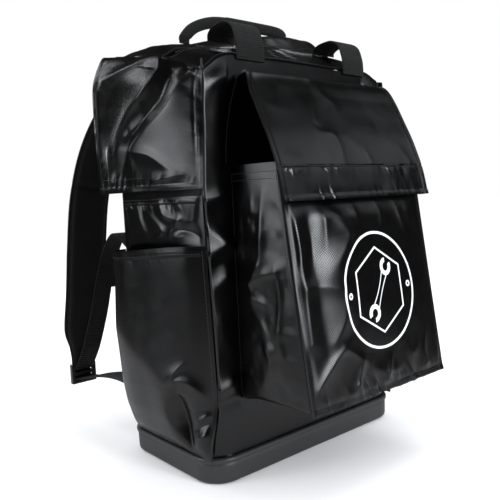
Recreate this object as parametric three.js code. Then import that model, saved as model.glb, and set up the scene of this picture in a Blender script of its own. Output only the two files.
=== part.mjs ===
// A lineman's tool backpack: a glossy coated-cloth bag that stands in a moulded plastic tray.
// It has a bellows pocket with a long flap on the front, two pockets and a flap on each side,
// a zipped top with two webbing loops and a carrying handle, and a padded harness on the back.
// Millimetres. +X is the wearer's left side, the front faces -Y, +Z is up.
// The origin is the middle of the tray's underside.
import * as THREE from "three";

// Moulded tray
const TRAY_WIDTH = 295;
const TRAY_DEPTH = 166;
const TRAY_HEIGHT = 28;
const TRAY_CORNER = 30;
const TRAY_WALL = 3;
const TRAY_FILLET = 6;
const LIP_HEIGHT = 4.5;
const LIP_OUT = 1.8;

// Coated cloth and the clearance left at every sewn joint
const CLOTH = 2;
const GAP = 0.35;

// Bag
const RIM_HEIGHT = 430;
const BACK_RISE = 28;
const CORNER_DROOP = 6;
const FRONT_WIDTH = 270;
const BACK_WIDTH = 288;
const SEAM_RADIUS = 5;
const BACK_RADIUS = 16;
const TRAY_BLEND = 62;

// Zipped top
const ZIP_SETBACK = 60;
const ZIP_WIDTH = 7;
const ZIP_THICKNESS = 2.4;
const ZIP_LENGTH = 240;
const ZIP_CROWN = 19;
const RIDGE_SETBACK = 92;
const RIDGE_CROWN = 41;
const SLIDER_LENGTH = 14;
const SLIDER_HEIGHT = 5;

// Front pocket, its yoke and its flap
const POCKET_WIDTH = 210;
const POCKET_BOTTOM = 80;
const POCKET_TOP = 321;
const POCKET_DEPTH_LOW = 103;
const POCKET_DEPTH_HIGH = 67.5;
const POCKET_FRONT_LIFT = 8;
const POCKET_CORNER = 14;
const POCKET_FOLD = 9;
const POCKET_BELLY = 3;
const YOKE_HALF_LOW = 116;
const YOKE_HALF_HIGH = 95;
const YOKE_HEIGHT = 90;
const YOKE_THICKNESS = 3;
const FLAP_HALF_ROOT = 94;
const FLAP_HALF_EDGE = 112;
const FLAP_DROP = 121;
const FLAP_REACH = 82;
const FLAP_FOLD = 6;

// Side pockets and side flaps
const LOW_POCKET_HEIGHT = 216;
const LOW_POCKET_BULGE = 26;
const LOW_POCKET_SAG = 8;
const HIGH_POCKET_BOTTOM = 222;
const HIGH_POCKET_HEIGHT = 71;
const HIGH_POCKET_BULGE = 8;
const SIDE_FOLD = 7;
const SIDE_FLAP_LENGTH = 169;
const SIDE_FLAP_DROP = 130;
const SIDE_FLAP_STANDOFF = 16.5;

// Back panel and harness
const PAD_PANEL_WIDTH = 250;
const PAD_PANEL_BOTTOM = 48;
const PAD_PANEL_TOP = 436;
const PAD_PANEL_THICKNESS = 9;
const PAD_PANEL_CORNER = 22;
const STRAP_SPREAD = PAD_PANEL_WIDTH / 2 + 22;
const STRAP_REACH = 115;
const STRAP_WIDTH = 54;
const STRAP_THICKNESS = 11;
const WEBBING_WIDTH = 25;
const WEBBING = 2;
const ADJUSTER_WIDTH = 34;
const ADJUSTER_HEIGHT = 26;
const ADJUSTER_THICKNESS = 6;
const ADJUSTER_BAR = 4.5;
const ADJUSTER_LEVEL = 66;
const CHEST_LEVEL = 188;
const CHEST_BUCKLE_WIDTH = 52;
const CHEST_BUCKLE_HEIGHT = 34;
const CHEST_BUCKLE_THICKNESS = 10;

// Carrying handle and lifting loops
const HANDLE_SPAN = 162;
const HANDLE_TOP = 506;
const HANDLE_TALL = 13;
const HANDLE_THICKNESS = 8;
const HANDLE_SETBACK = 110;
const LOOP_WIDTH = 38;
const LOOP_RISE = 38;
const LOOP_FOOT = 3;
const LOOP_REACH = 0.76;
const LOOP_PLACE_RIGHT = -73;
const LOOP_PLACE_LEFT = 87;

// Worked out from the sizes above
const BAG_HALF_DEPTH = TRAY_DEPTH / 2 - TRAY_WALL - GAP;
const BAG_TRAY_HALF = TRAY_WIDTH / 2 - TRAY_WALL - GAP;
const BAG_TRAY_RADIUS = TRAY_CORNER - TRAY_WALL - GAP;
const BAG_FLOOR = TRAY_WALL + GAP;
const FRONT_FACE = -BAG_HALF_DEPTH - GAP;
const BACK_FACE = BAG_HALF_DEPTH + GAP;
const PANEL_FACE = BACK_FACE + PAD_PANEL_THICKNESS;
const ZIP_Y = -BAG_HALF_DEPTH + ZIP_SETBACK;
const RIDGE_Y = -BAG_HALF_DEPTH + RIDGE_SETBACK;

// Half width of the bag's front and back seams, as shares of the widths above
const BAG_SHAPE = [
  { up: 0.0, front: 1.0, back: 1.0 },
  { up: 0.18, front: 0.982, back: 0.99 },
  { up: 0.4, front: 0.998, back: 1.0 },
  { up: 0.55, front: 1.014, back: 1.008 },
  { up: 0.7, front: 1.026, back: 1.01 },
  { up: 0.88, front: 1.0, back: 1.0 },
  { up: 1.0, front: 0.994, back: 0.996 },
];

// Levels at which the bag's wall bends, as shares of its height
const BAG_LEVELS = [0, 0.05, 0.11, 0.19, 0.32, 0.46, 0.6, 0.74, 0.88, 1];
const BAG_INNER_LEVELS = [1, 0.74, 0.46, 0.19, 0.11, 0.05, 0];

// Lower side pocket seen from above: along the bag's depth, and bulge
const LOW_POCKET_PLAN = [
  { along: -0.94, out: 0.0 },
  { along: -0.75, out: 0.45 },
  { along: -0.38, out: 0.74 },
  { along: 0.0, out: 0.91 },
  { along: 0.38, out: 1.0 },
  { along: 0.63, out: 0.92 },
  { along: 0.78, out: 0.68 },
  { along: 0.9, out: 0.22 },
];

// Lower side pocket seen from the front: height above the tray, and bulge
const LOW_POCKET_RISE = [
  { up: 0.0, out: 0.12 },
  { up: 0.06, out: 0.33 },
  { up: 0.12, out: 0.52 },
  { up: 0.2, out: 0.78 },
  { up: 0.32, out: 0.97 },
  { up: 0.5, out: 1.0 },
  { up: 1.0, out: 0.97 },
];

const HIGH_POCKET_PLAN = [
  { along: -0.84, out: 0.0 },
  { along: -0.6, out: 0.75 },
  { along: 0.0, out: 1.0 },
  { along: 0.5, out: 0.85 },
  { along: 0.76, out: 0.0 },
];

// Front flap in profile: reach forward of the yoke, and height below the flap's root
const FLAP_PROFILE = [
  { reach: 0.0, below: -0.02 },
  { reach: 0.186, below: -0.047 },
  { reach: 0.352, below: -0.014 },
  { reach: 0.466, below: 0.176 },
  { reach: 0.644, below: 0.342 },
  { reach: 0.695, below: 0.49 },
  { reach: 0.771, below: 0.586 },
  { reach: 0.911, below: 0.738 },
  { reach: 0.962, below: 0.871 },
  { reach: 1.0, below: 1.0 },
];

// Side flap in profile: distance out from the bag's wall, and height below its rim
const SIDE_FLAP_PROFILE = [
  { out: 0.0, below: -0.01 },
  { out: 0.2, below: 0.0 },
  { out: 0.48, below: 0.055 },
  { out: 0.9, below: 0.187 },
  { out: 1.0, below: 0.34 },
  { out: 0.95, below: 0.6 },
  { out: 0.82, below: 0.86 },
  { out: 0.77, below: 1.0 },
];

// Folds: a line from one place to another on the sheet, its width, and how far it stands out
const SIDE_FLAP_FOLDS = [
  { fromU: 0.42, fromV: 0.08, toU: 0.84, toV: 0.8, width: 0.07, rise: 0.9 },
  { fromU: 0.3, fromV: 0.2, toU: 0.7, toV: 0.62, width: 0.06, rise: -0.6 },
  { fromU: 0.2, fromV: 0.28, toU: 0.66, toV: 0.7, width: 0.09, rise: 1.0 },
  { fromU: 0.66, fromV: 0.72, toU: 0.62, toV: 0.98, width: 0.05, rise: 0.6 },
];
const FRONT_FLAP_FOLDS = [
  { fromU: 0.36, fromV: 0.12, toU: 0.5, toV: 0.6, width: 0.07, rise: 0.8 },
  { fromU: 0.58, fromV: 0.12, toU: 0.68, toV: 0.42, width: 0.06, rise: 0.6 },
  { fromU: 0.08, fromV: 0.3, toU: 0.3, toV: 0.42, width: 0.06, rise: 0.5 },
  { fromU: 0.5, fromV: 0.6, toU: 0.58, toV: 0.98, width: 0.05, rise: 0.4 },
];
const FRONT_PANEL_FOLDS = [
  { fromU: 0.1, fromV: 0.24, toU: 0.14, toV: 0.95, width: 0.06, rise: 0.5 },
  { fromU: 0.3, fromV: 0.26, toU: 0.45, toV: 0.5, width: 0.1, rise: 0.7 },
  { fromU: 0.32, fromV: 0.6, toU: 0.28, toV: 0.82, width: 0.08, rise: -0.6 },
  { fromU: 0.9, fromV: 0.28, toU: 0.86, toV: 0.9, width: 0.06, rise: 0.5 },
];

// Crown of the zipped top at its zip and its ridge, from the wearer's right to left
const TOP_ACROSS = [
  { share: -1.0, zip: 0.0, ridge: 0.0 },
  { share: -0.93, zip: 0.08, ridge: 0.14 },
  { share: -0.56, zip: 0.5, ridge: 0.34 },
  { share: -0.28, zip: 0.85, ridge: 0.58 },
  { share: 0.0, zip: 1.0, ridge: 0.77 },
  { share: 0.35, zip: 1.0, ridge: 0.94 },
  { share: 0.7, zip: 1.0, ridge: 1.0 },
  { share: 0.9, zip: 0.9, ridge: 0.93 },
  { share: 1.0, zip: 0.0, ridge: 0.0 },
];
const LOW_POCKET_FOLDS = [
  { fromU: 0.1, fromV: 0.3, toU: 0.36, toV: 0.16, width: 0.06, rise: 0.9 },
  { fromU: 0.36, fromV: 0.18, toU: 0.3, toV: 0.0, width: 0.05, rise: -1.0 },
  { fromU: 0.04, fromV: 0.12, toU: 0.24, toV: 0.1, width: 0.04, rise: -0.7 },
  { fromU: 0.62, fromV: 0.5, toU: 0.45, toV: 0.05, width: 0.12, rise: 0.6 },
];
const HIGH_POCKET_FOLDS = [
  { fromU: 0.62, fromV: 0.95, toU: 0.4, toV: 0.35, width: 0.07, rise: 0.7 },
  { fromU: 0.78, fromV: 0.95, toU: 0.6, toV: 0.3, width: 0.05, rise: 0.5 },
  { fromU: 0.2, fromV: 0.5, toU: 0.4, toV: 0.35, width: 0.06, rise: 0.6 },
];
const GUSSET_FOLDS = [
  { fromU: 0.0, fromV: 0.62, toU: 0.18, toV: 0.55, width: 0.05, rise: 0.8 },
  { fromU: 0.18, fromV: 0.2, toU: 0.2, toV: 0.6, width: 0.03, rise: -0.6 },
  { fromU: 0.2, fromV: 0.5, toU: 0.32, toV: 0.72, width: 0.05, rise: 0.6 },
  { fromU: 0.8, fromV: 0.5, toU: 1.0, toV: 0.6, width: 0.05, rise: 0.7 },
];

// Harness routes: sideways, back from the bag's back panel, and up, with the shoulder pad's width
const PAD_ROUTE = [
  { side: 0.48, out: 0.0, up: 0.965, wide: 0.9 },
  { side: 0.485, out: 0.12, up: 0.966, wide: 0.92 },
  { side: 0.52, out: 0.32, up: 0.985, wide: 1.0 },
  { side: 0.61, out: 0.6, up: 0.955, wide: 1.0 },
  { side: 0.74, out: 0.82, up: 0.84, wide: 1.0 },
  { side: 0.83, out: 0.93, up: 0.7, wide: 1.0 },
  { side: 0.9, out: 0.92, up: 0.54, wide: 1.0 },
  { side: 0.935, out: 0.94, up: 0.4, wide: 1.0 },
  { side: 0.97, out: 0.98, up: 0.29, wide: 0.94 },
  { side: 0.985, out: 1.0, up: 0.235, wide: 0.62 },
  { side: 0.987, out: 1.0, up: 0.205, wide: 0.55 },
];
const LOW_STRAP_ROUTE = [
  { side: 0.9, out: 0.0, up: 0.17 },
  { side: 0.9, out: 0.08, up: 0.17 },
  { side: 0.92, out: 0.4, up: 0.163 },
  { side: 0.96, out: 0.75, up: 0.15 },
  { side: 0.985, out: 0.95, up: 0.14 },
];
const TAIL_ROUTE = [
  { side: 0.985, out: 0.93, up: 0.178 },
  { side: 0.94, out: 0.86, up: 0.24 },
  { side: 0.86, out: 0.825, up: 0.34 },
  { side: 0.79, out: 0.8, up: 0.45 },
  { side: 0.73, out: 0.75, up: 0.53 },
  { side: 0.71, out: 0.62, up: 0.575 },
  { side: 0.74, out: 0.4, up: 0.58 },
  { side: 0.77, out: 0.12, up: 0.55 },
  { side: 0.77, out: 0.0, up: 0.548 },
];

// Handle and loop outlines, as shares of their span and rise
const HANDLE_ROUTE = [
  { across: -0.5, up: 0.0 },
  { across: -0.49, up: 0.25 },
  { across: -0.4, up: 0.62 },
  { across: -0.25, up: 0.88 },
  { across: -0.08, up: 0.98 },
  { across: 0.2, up: 1.0 },
  { across: 0.45, up: 0.94 },
  { across: 0.53, up: 0.55 },
  { across: 0.53, up: 0.0 },
];
const LOOP_ROUTE = [
  { back: 0.0, up: 0.0 },
  { back: 0.0, up: 0.24 },
  { back: 0.03, up: 0.5 },
  { back: 0.16, up: 0.84 },
  { back: 0.45, up: 1.0 },
  { back: 0.78, up: 0.9 },
  { back: 0.98, up: 0.5 },
  { back: 1.0, up: 0.0 },
];

const vinyl = (shade) =>
  new THREE.MeshStandardMaterial({ color: shade, roughness: 0.3, metalness: 0 });
const MATERIALS = {
  vinyl: vinyl(0x141516),
  tray: new THREE.MeshStandardMaterial({ color: 0x35363a, roughness: 0.5 }),
  webbing: new THREE.MeshStandardMaterial({ color: 0x101010, roughness: 0.9 }),
  padding: new THREE.MeshStandardMaterial({ color: 0x0e0e0f, roughness: 0.85 }),
  plastic: new THREE.MeshStandardMaterial({ color: 0x18181a, roughness: 0.4 }),
  zipper: new THREE.MeshStandardMaterial({ color: 0x1a1a1a, roughness: 0.6 }),
};

const clamp = (v, low, high) => Math.min(Math.max(v, low), high);
const lerp = (a, b, t) => a + (b - a) * t;
const point = (x, y, z) => new THREE.Vector3(x, y, z);
function smooth(t) {
  const s = clamp(t, 0, 1);
  return s * s * (3 - 2 * s);
}

// A smooth curve through a table: the column's value where the key column reaches v.
function read(rows, key, v, column) {
  const last = rows.length - 1;
  let i = rows.findIndex((row) => row[key] > v) - 1;
  if (v <= rows[0][key]) return rows[0][column];
  if (v >= rows[last][key]) return rows[last][column];
  i = clamp(i, 0, last - 1);
  return passThrough(rows, i, (v - rows[i][key]) / (rows[i + 1][key] - rows[i][key]), column);
}

// Catmull-Rom between row i and row i + 1.
function passThrough(rows, i, t, column) {
  const value = (k) => rows[clamp(k, 0, rows.length - 1)][column];
  const [a, b, c, d] = [value(i - 1), value(i), value(i + 1), value(i + 2)];
  return (
    b + 0.5 * t * (c - a + t * (2 * a - 5 * b + 4 * c - d + t * (3 * (b - c) + d - a)))
  );
}

// The same curve, walked by share of the number of rows.
function walk(rows, share, column) {
  const place = clamp(share, 0, 1) * (rows.length - 1);
  const i = Math.min(Math.floor(place), rows.length - 2);
  return passThrough(rows, i, place - i, column);
}

// Sum of soft ridges, each along a line on the sheet; aspect is the sheet's height over its width.
function foldRise(folds, u, v, aspect) {
  let rise = 0;
  for (const fold of folds) {
    const [ax, ay] = [fold.fromU, fold.fromV * aspect];
    const [dx, dy] = [fold.toU - fold.fromU, fold.toV * aspect - ay];
    const t = clamp(((u - ax) * dx + (v * aspect - ay) * dy) / (dx * dx + dy * dy), 0, 1);
    const away = Math.hypot(u - ax - t * dx, v * aspect - ay - t * dy) / fold.width;
    rise += fold.rise * Math.exp(-away * away);
  }
  const edge = Math.min(u, 1 - u, v, 1 - v);
  return rise * smooth(edge / 0.12);
}

// A closed body from triangles, turned so that its faces point out.
function bodyFrom(triangles) {
  const volume = triangles.reduce((sum, [a, b, c]) => {
    return sum + a.dot(point(0, 0, 0).crossVectors(b, c)) / 6;
  }, 0);
  const corners = triangles.flatMap(([a, b, c]) => (volume < 0 ? [a, c, b] : [a, b, c]));
  return new THREE.BufferGeometry().setFromPoints(corners);
}

const quad = (a, b, c, d) => [
  [a, b, c],
  [a, c, d],
];

// Rings of the same number of points, joined in order and capped at both ends.
function loft(rings) {
  const count = rings[0].length;
  const triangles = [];
  for (let r = 0; r < rings.length - 1; r++) {
    for (let k = 0; k < count; k++) {
      const next = (k + 1) % count;
      triangles.push(...quad(rings[r][k], rings[r][next], rings[r + 1][next], rings[r + 1][k]));
    }
  }
  for (const [ring, turned] of [
    [rings[0], true],
    [rings[rings.length - 1], false],
  ]) {
    for (let k = 1; k < count - 1; k++) {
      triangles.push(turned ? [ring[0], ring[k + 1], ring[k]] : [ring[0], ring[k], ring[k + 1]]);
    }
  }
  return bodyFrom(triangles);
}

// A sheet of cloth: surface(u, v) is its outer face, and its inner face lies a thickness behind.
// side is 1 or -1, for the way its outer face looks. straight(u, v) may give the direction at an edge.
function sheet(surface, columns, rows, thickness, side, straight) {
  const step = 1e-3;
  const outer = [];
  const inner = [];
  for (let r = 0; r <= rows; r++) {
    outer.push([]);
    inner.push([]);
    for (let c = 0; c <= columns; c++) {
      const [u, v] = [c / columns, r / rows];
      const [u0, u1] = [Math.max(u - step, 0), Math.min(u + step, 1)];
      const [v0, v1] = [Math.max(v - step, 0), Math.min(v + step, 1)];
      const across = surface(u1, v).sub(surface(u0, v));
      const along = surface(u, v1).sub(surface(u, v0));
      const normal = point(0, 0, 0).crossVectors(across, along).normalize().multiplyScalar(side);
      const lean = straight ? straight(u, v) : null;
      const here = surface(u, v);
      outer[r].push(here);
      inner[r].push(here.clone().addScaledVector(lean || normal, -thickness));
    }
  }
  const triangles = [];
  for (let r = 0; r < rows; r++) {
    for (let c = 0; c < columns; c++) {
      const cell = (grid) => [grid[r][c], grid[r][c + 1], grid[r + 1][c + 1], grid[r + 1][c]];
      triangles.push(...quad(...cell(outer)), ...quad(...cell(inner).reverse()));
    }
    triangles.push(...quad(outer[r + 1][0], inner[r + 1][0], inner[r][0], outer[r][0]));
    triangles.push(
      ...quad(outer[r][columns], inner[r][columns], inner[r + 1][columns], outer[r + 1][columns]),
    );
  }
  for (let c = 0; c < columns; c++) {
    triangles.push(...quad(outer[0][c], inner[0][c], inner[0][c + 1], outer[0][c + 1]));
    triangles.push(
      ...quad(outer[rows][c + 1], inner[rows][c + 1], inner[rows][c], outer[rows][c]),
    );
  }
  return bodyFrom(triangles);
}

// A band swept along a route; sections(share) gives its place, its two half axes and their sizes.
function band(places, chamfer) {
  const rings = places.map(({ at, wide, thick }) => {
    const corners = chamfer
      ? [
          [-1, -0.35],
          [-0.82, -1],
          [0.82, -1],
          [1, -0.35],
          [1, 0.35],
          [0.82, 1],
          [-0.82, 1],
          [-1, 0.35],
        ]
      : [
          [-1, -1],
          [1, -1],
          [1, 1],
          [-1, 1],
        ];
    return corners.map(([a, b]) => {
      return at.clone().addScaledVector(wide, a).addScaledVector(thick, b);
    });
  });
  return loft(rings);
}

// Outline of the bag at a share of its height: half widths and corner radii.
function bagOutline(share, inset) {
  const z = lerp(BAG_FLOOR, RIM_HEIGHT, share);
  const free = smooth((z - TRAY_HEIGHT) / TRAY_BLEND);
  const front = (FRONT_WIDTH / 2) * read(BAG_SHAPE, "up", share, "front");
  const back = (BACK_WIDTH / 2) * read(BAG_SHAPE, "up", share, "back");
  return {
    front: lerp(BAG_TRAY_HALF, front, free) - inset,
    back: lerp(BAG_TRAY_HALF, back, free) - inset,
    depth: BAG_HALF_DEPTH - inset,
    frontRadius: Math.max(lerp(BAG_TRAY_RADIUS, SEAM_RADIUS, free) - inset, 1),
    backRadius: Math.max(lerp(BAG_TRAY_RADIUS, BACK_RADIUS, free) - inset, 1),
  };
}

// Height of the bag's rim: it climbs towards the back and droops at the side seams.
function rimHeight(x, y) {
  const half = FRONT_WIDTH / 2;
  const droop = smooth((Math.abs(x) - half * 0.84) / (half * 0.16));
  const back = clamp((y + BAG_HALF_DEPTH) / (2 * BAG_HALF_DEPTH), -0.1, 1.1);
  return RIM_HEIGHT + BACK_RISE * back - CORNER_DROOP * droop;
}

// Points round a box with two pairs of corner radii, starting at the front right corner.
function outlinePoints({ front, back, depth, frontRadius, backRadius }, arcSteps, sideSteps) {
  const corners = [
    [-front + frontRadius, -depth + frontRadius, frontRadius, 180],
    [front - frontRadius, -depth + frontRadius, frontRadius, 270],
    [back - backRadius, depth - backRadius, backRadius, 0],
    [-back + backRadius, depth - backRadius, backRadius, 90],
  ];
  const points = [];
  corners.forEach(([x, y, radius, start], k) => {
    for (let s = 0; s <= arcSteps; s++) {
      const angle = THREE.MathUtils.degToRad(start + (90 * s) / arcSteps);
      points.push([x + radius * Math.cos(angle), y + radius * Math.sin(angle)]);
    }
    const [nx, ny, nr, next] = corners[(k + 1) % corners.length];
    const turn = THREE.MathUtils.degToRad(next);
    const end = [nx + nr * Math.cos(turn), ny + nr * Math.sin(turn)];
    const from = points[points.length - 1];
    for (let s = 1; s < sideSteps; s++) {
      points.push([lerp(from[0], end[0], s / sideSteps), lerp(from[1], end[1], s / sideSteps)]);
    }
  });
  return points;
}

function bagRing(share, inset, floor) {
  return outlinePoints(bagOutline(share, inset), 3, 4).map(([x, y]) => {
    return point(x, y, lerp(floor, rimHeight(x, y), share));
  });
}

// Half width of the bag's side wall at one of its levels and a depth.
function levelHalf(level, y) {
  const { front, back, depth, frontRadius, backRadius } = bagOutline(level, 0);
  const from = frontRadius - depth;
  return lerp(front, back, clamp((y - from) / (depth - backRadius - from), 0, 1));
}

// Outer face of the bag's side wall, as a distance from the middle, at a depth and a height.
function wallHalf(y, z) {
  const share = clamp((z - BAG_FLOOR) / (rimHeight(FRONT_WIDTH / 2, y) - BAG_FLOOR), 0, 1);
  const i = clamp(BAG_LEVELS.findIndex((level) => level > share) - 1, 0, BAG_LEVELS.length - 2);
  const [low, high] = share === 1 ? [1, 1] : [BAG_LEVELS[i], BAG_LEVELS[i + 1]];
  const between = high > low ? (share - low) / (high - low) : 0;
  return lerp(levelHalf(low, y), levelHalf(high, y), between);
}

function baseTray() {
  const half = TRAY_WIDTH / 2;
  const ring = (inset, z) => {
    const radius = TRAY_CORNER - inset;
    const outline = {
      front: half - inset,
      back: half - inset,
      depth: TRAY_DEPTH / 2 - inset,
      frontRadius: radius,
      backRadius: radius,
    };
    return outlinePoints(outline, 6, 1).map(([x, y]) => point(x, y, z));
  };
  const lipStart = TRAY_HEIGHT - LIP_HEIGHT;
  return loft([
    ring(TRAY_FILLET, 0),
    ring(TRAY_FILLET * 0.3, TRAY_FILLET * 0.3),
    ring(TRAY_WALL * 0.3, TRAY_FILLET),
    ring(0, lipStart - LIP_OUT),
    ring(-LIP_OUT, lipStart),
    ring(-LIP_OUT, TRAY_HEIGHT - LIP_OUT / 2),
    ring(0, TRAY_HEIGHT),
    ring(TRAY_WALL, TRAY_HEIGHT),
    ring(TRAY_WALL, TRAY_WALL),
  ]);
}

function bagBody() {
  return loft([
    ...BAG_LEVELS.map((share) => bagRing(share, 0, BAG_FLOOR)),
    ...BAG_INNER_LEVELS.map((share) => bagRing(share, CLOTH, BAG_FLOOR + CLOTH)),
  ]);
}

// Crown of the zipped top above the rim.
function topCrown(share, y) {
  const ridge = RIDGE_CROWN * read(TOP_ACROSS, "share", share, "ridge");
  const zip = ZIP_CROWN * read(TOP_ACROSS, "share", share, "zip");
  const fade = 1 - Math.abs(share) ** 14;
  if (y < ZIP_Y) {
    const climb = (y + BAG_HALF_DEPTH) / ZIP_SETBACK;
    return zip * Math.sin((climb * Math.PI) / 2) * fade;
  }
  if (y < RIDGE_Y) {
    const climb = smooth((y - ZIP_Y) / (RIDGE_Y - ZIP_Y));
    return lerp(zip, ridge, climb) * fade;
  }
  return ridge * (1 - ((y - RIDGE_Y) / (BAG_HALF_DEPTH - RIDGE_Y)) ** 2) * fade;
}

// Top face of the zipped top, at a share of its half width.
function topPoint(share, y) {
  const x = share * wallHalf(y, RIM_HEIGHT);
  return point(x, y, rimHeight(x, y) + GAP + CLOTH + topCrown(share, y));
}

// How far a rounded corner draws the top's edge in, where it is a share across.
function cornerDraw(share, radius, half) {
  const over = clamp((Math.abs(share) * half - (half - radius)) / radius, 0, 1);
  return radius * (1 - Math.sqrt(1 - over * over * 0.98));
}

function topPanel(from, to, columns, rows) {
  const half = BACK_WIDTH / 2;
  const surface = (u, v) => {
    const share = Math.sin((u - 0.5) * Math.PI);
    return topPoint(share, lerp(from(share, half), to(share, half), v));
  };
  const straight = (u, v) => (Math.min(u, 1 - u, v, 1 - v) < 1e-6 ? point(0, 0, 1) : null);
  return sheet(surface, columns, rows, CLOTH, 1, straight);
}

function topFrontPanel() {
  return topPanel(
    (share, half) => -BAG_HALF_DEPTH + cornerDraw(share, SEAM_RADIUS, half),
    () => ZIP_Y - ZIP_WIDTH / 2 - GAP,
    20,
    4,
  );
}

function topRearPanel() {
  return topPanel(
    () => ZIP_Y + ZIP_WIDTH / 2 + GAP,
    (share, half) => BAG_HALF_DEPTH - cornerDraw(share, BACK_RADIUS, half),
    20,
    7,
  );
}

// Ends of the zipper's chain, as shares of the top's half width.
const ZIP_END = ZIP_LENGTH / 2 / wallHalf(ZIP_Y, RIM_HEIGHT);

function zipper() {
  const steps = 16;
  const places = Array.from({ length: steps + 1 }, (_, k) => {
    const share = lerp(-ZIP_END, ZIP_END, k / steps);
    const at = topPoint(share, ZIP_Y).add(point(0, 0, -ZIP_THICKNESS / 2));
    return { at, wide: point(0, ZIP_WIDTH / 2, 0), thick: point(0, 0, ZIP_THICKNESS / 2) };
  });
  return band(places);
}

function zipperSlider() {
  const share = ZIP_END * 0.86;
  const foot = topPoint(share, ZIP_Y).add(point(0, 0, GAP + SLIDER_HEIGHT / 2));
  const places = [-0.5, 0.15, 0.5].map((along) => {
    const narrow = along < 0 ? 0.55 : 1;
    return {
      at: foot.clone().add(point(along * SLIDER_LENGTH, 0, 0)),
      wide: point(0, (ZIP_WIDTH / 2 - GAP) * narrow, 0),
      thick: point(0, 0, SLIDER_HEIGHT / 2),
    };
  });
  return band(places);
}

// The front pocket's depth at a height.
function pocketDepth(z) {
  const up = (z - POCKET_BOTTOM) / (POCKET_TOP - POCKET_BOTTOM);
  return lerp(POCKET_DEPTH_LOW, POCKET_DEPTH_HIGH, clamp(up, 0, 1));
}

// The gusset's route round the pocket: down one side, along the bottom and up the other.
function gussetPlace(share) {
  const half = POCKET_WIDTH / 2;
  const side = POCKET_TOP - POCKET_BOTTOM - POCKET_CORNER;
  const arc = (Math.PI / 2) * POCKET_CORNER;
  const bottom = 2 * (half - POCKET_CORNER);
  const total = 2 * side + 2 * arc + bottom;
  const mirrored = share > 0.5;
  const gone = (mirrored ? 1 - share : share) * total;
  let x = -half;
  let z = POCKET_TOP - gone;
  let out = point(-1, 0, 0);
  if (gone > side + arc) {
    x = -half + POCKET_CORNER + (gone - side - arc);
    z = POCKET_BOTTOM;
    out = point(0, 0, -1);
  } else if (gone > side) {
    const angle = (gone - side) / POCKET_CORNER;
    out = point(-Math.cos(angle), 0, -Math.sin(angle));
    x = -half + POCKET_CORNER + out.x * POCKET_CORNER;
    z = POCKET_BOTTOM + POCKET_CORNER + out.z * POCKET_CORNER;
  }
  const turn = mirrored ? -1 : 1;
  return { at: point(x * turn, 0, z), out: point(out.x * turn, 0, out.z) };
}

function pocketGusset() {
  const surface = (u, v) => {
    const { at, out } = gussetPlace(u);
    const low = -out.z;
    const reach = v * (pocketDepth(at.z + low * POCKET_FRONT_LIFT) - CLOTH - GAP);
    const lift = low * (POCKET_FRONT_LIFT * v + POCKET_FOLD * 0.7 * Math.sin(v * Math.PI));
    const bellows = (1 - low) * POCKET_FOLD * 0.6 * Math.sin(v * Math.PI);
    const fold = POCKET_FOLD * foldRise(GUSSET_FOLDS, u, v, 0.14);
    const spot = at.addScaledVector(out, bellows * (1 - 0.5 * v) + fold);
    return spot.add(point(0, FRONT_FACE - reach, lift));
  };
  const straight = (u, v) => {
    return v < 1e-6 || v > 1 - 1e-6 ? gussetPlace(u).out : null;
  };
  return sheet(surface, 32, 5, CLOTH, 1, straight);
}

function pocketPanel() {
  const half = POCKET_WIDTH / 2;
  const low = POCKET_BOTTOM + POCKET_FRONT_LIFT;
  const surface = (u, v) => {
    const z = lerp(low, POCKET_TOP, v);
    const belly = POCKET_BELLY * Math.sin(u * Math.PI) * Math.sin(v * Math.PI);
    const fold = POCKET_FOLD * 0.5 * foldRise(FRONT_PANEL_FOLDS, u, 1 - v, 1.1);
    return point(lerp(-half, half, u), FRONT_FACE - pocketDepth(z) - belly - fold, z);
  };
  return sheet(surface, 14, 12, CLOTH, 1, () => point(0, -1, 0));
}

const FLAP_ROOT = POCKET_TOP + GAP + YOKE_HEIGHT;

function flapYoke() {
  const low = POCKET_TOP + GAP;
  const rings = [0, 0.35, 0.75, 1].map((up) => {
    const half = lerp(YOKE_HALF_LOW, YOKE_HALF_HIGH, up ** 2);
    const z = low + up * YOKE_HEIGHT;
    const outer = FRONT_FACE - YOKE_THICKNESS;
    return [
      point(-half, FRONT_FACE, z),
      point(half, FRONT_FACE, z),
      point(half, outer, z),
      point(-half, outer, z),
    ];
  });
  return loft(rings);
}

function frontFlap() {
  const root = FRONT_FACE - YOKE_THICKNESS - GAP;
  const surface = (u, v) => {
    const half = lerp(FLAP_HALF_ROOT, FLAP_HALF_EDGE, smooth(v / 0.35));
    const below = FLAP_DROP * walk(FLAP_PROFILE, v, "below");
    const reach = (FLAP_REACH - YOKE_THICKNESS - GAP) * walk(FLAP_PROFILE, v, "reach");
    const fold = FLAP_FOLD * foldRise(FRONT_FLAP_FOLDS, u, v, 0.75);
    const crest = FLAP_ROOT - 3 * CLOTH - below + fold * 0.4;
    return point(lerp(-half, half, u), root - reach - fold * 0.9, crest);
  };
  const straight = (u, v) => (v < 1e-6 ? point(0, 0, 1) : null);
  return sheet(surface, 14, 16, CLOTH, -1, straight);
}

// Turns a piece made for the bag's right side, at -X, to the side wanted.
const onSide = (side, spot) => point(spot.x * side, spot.y, spot.z);

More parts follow.
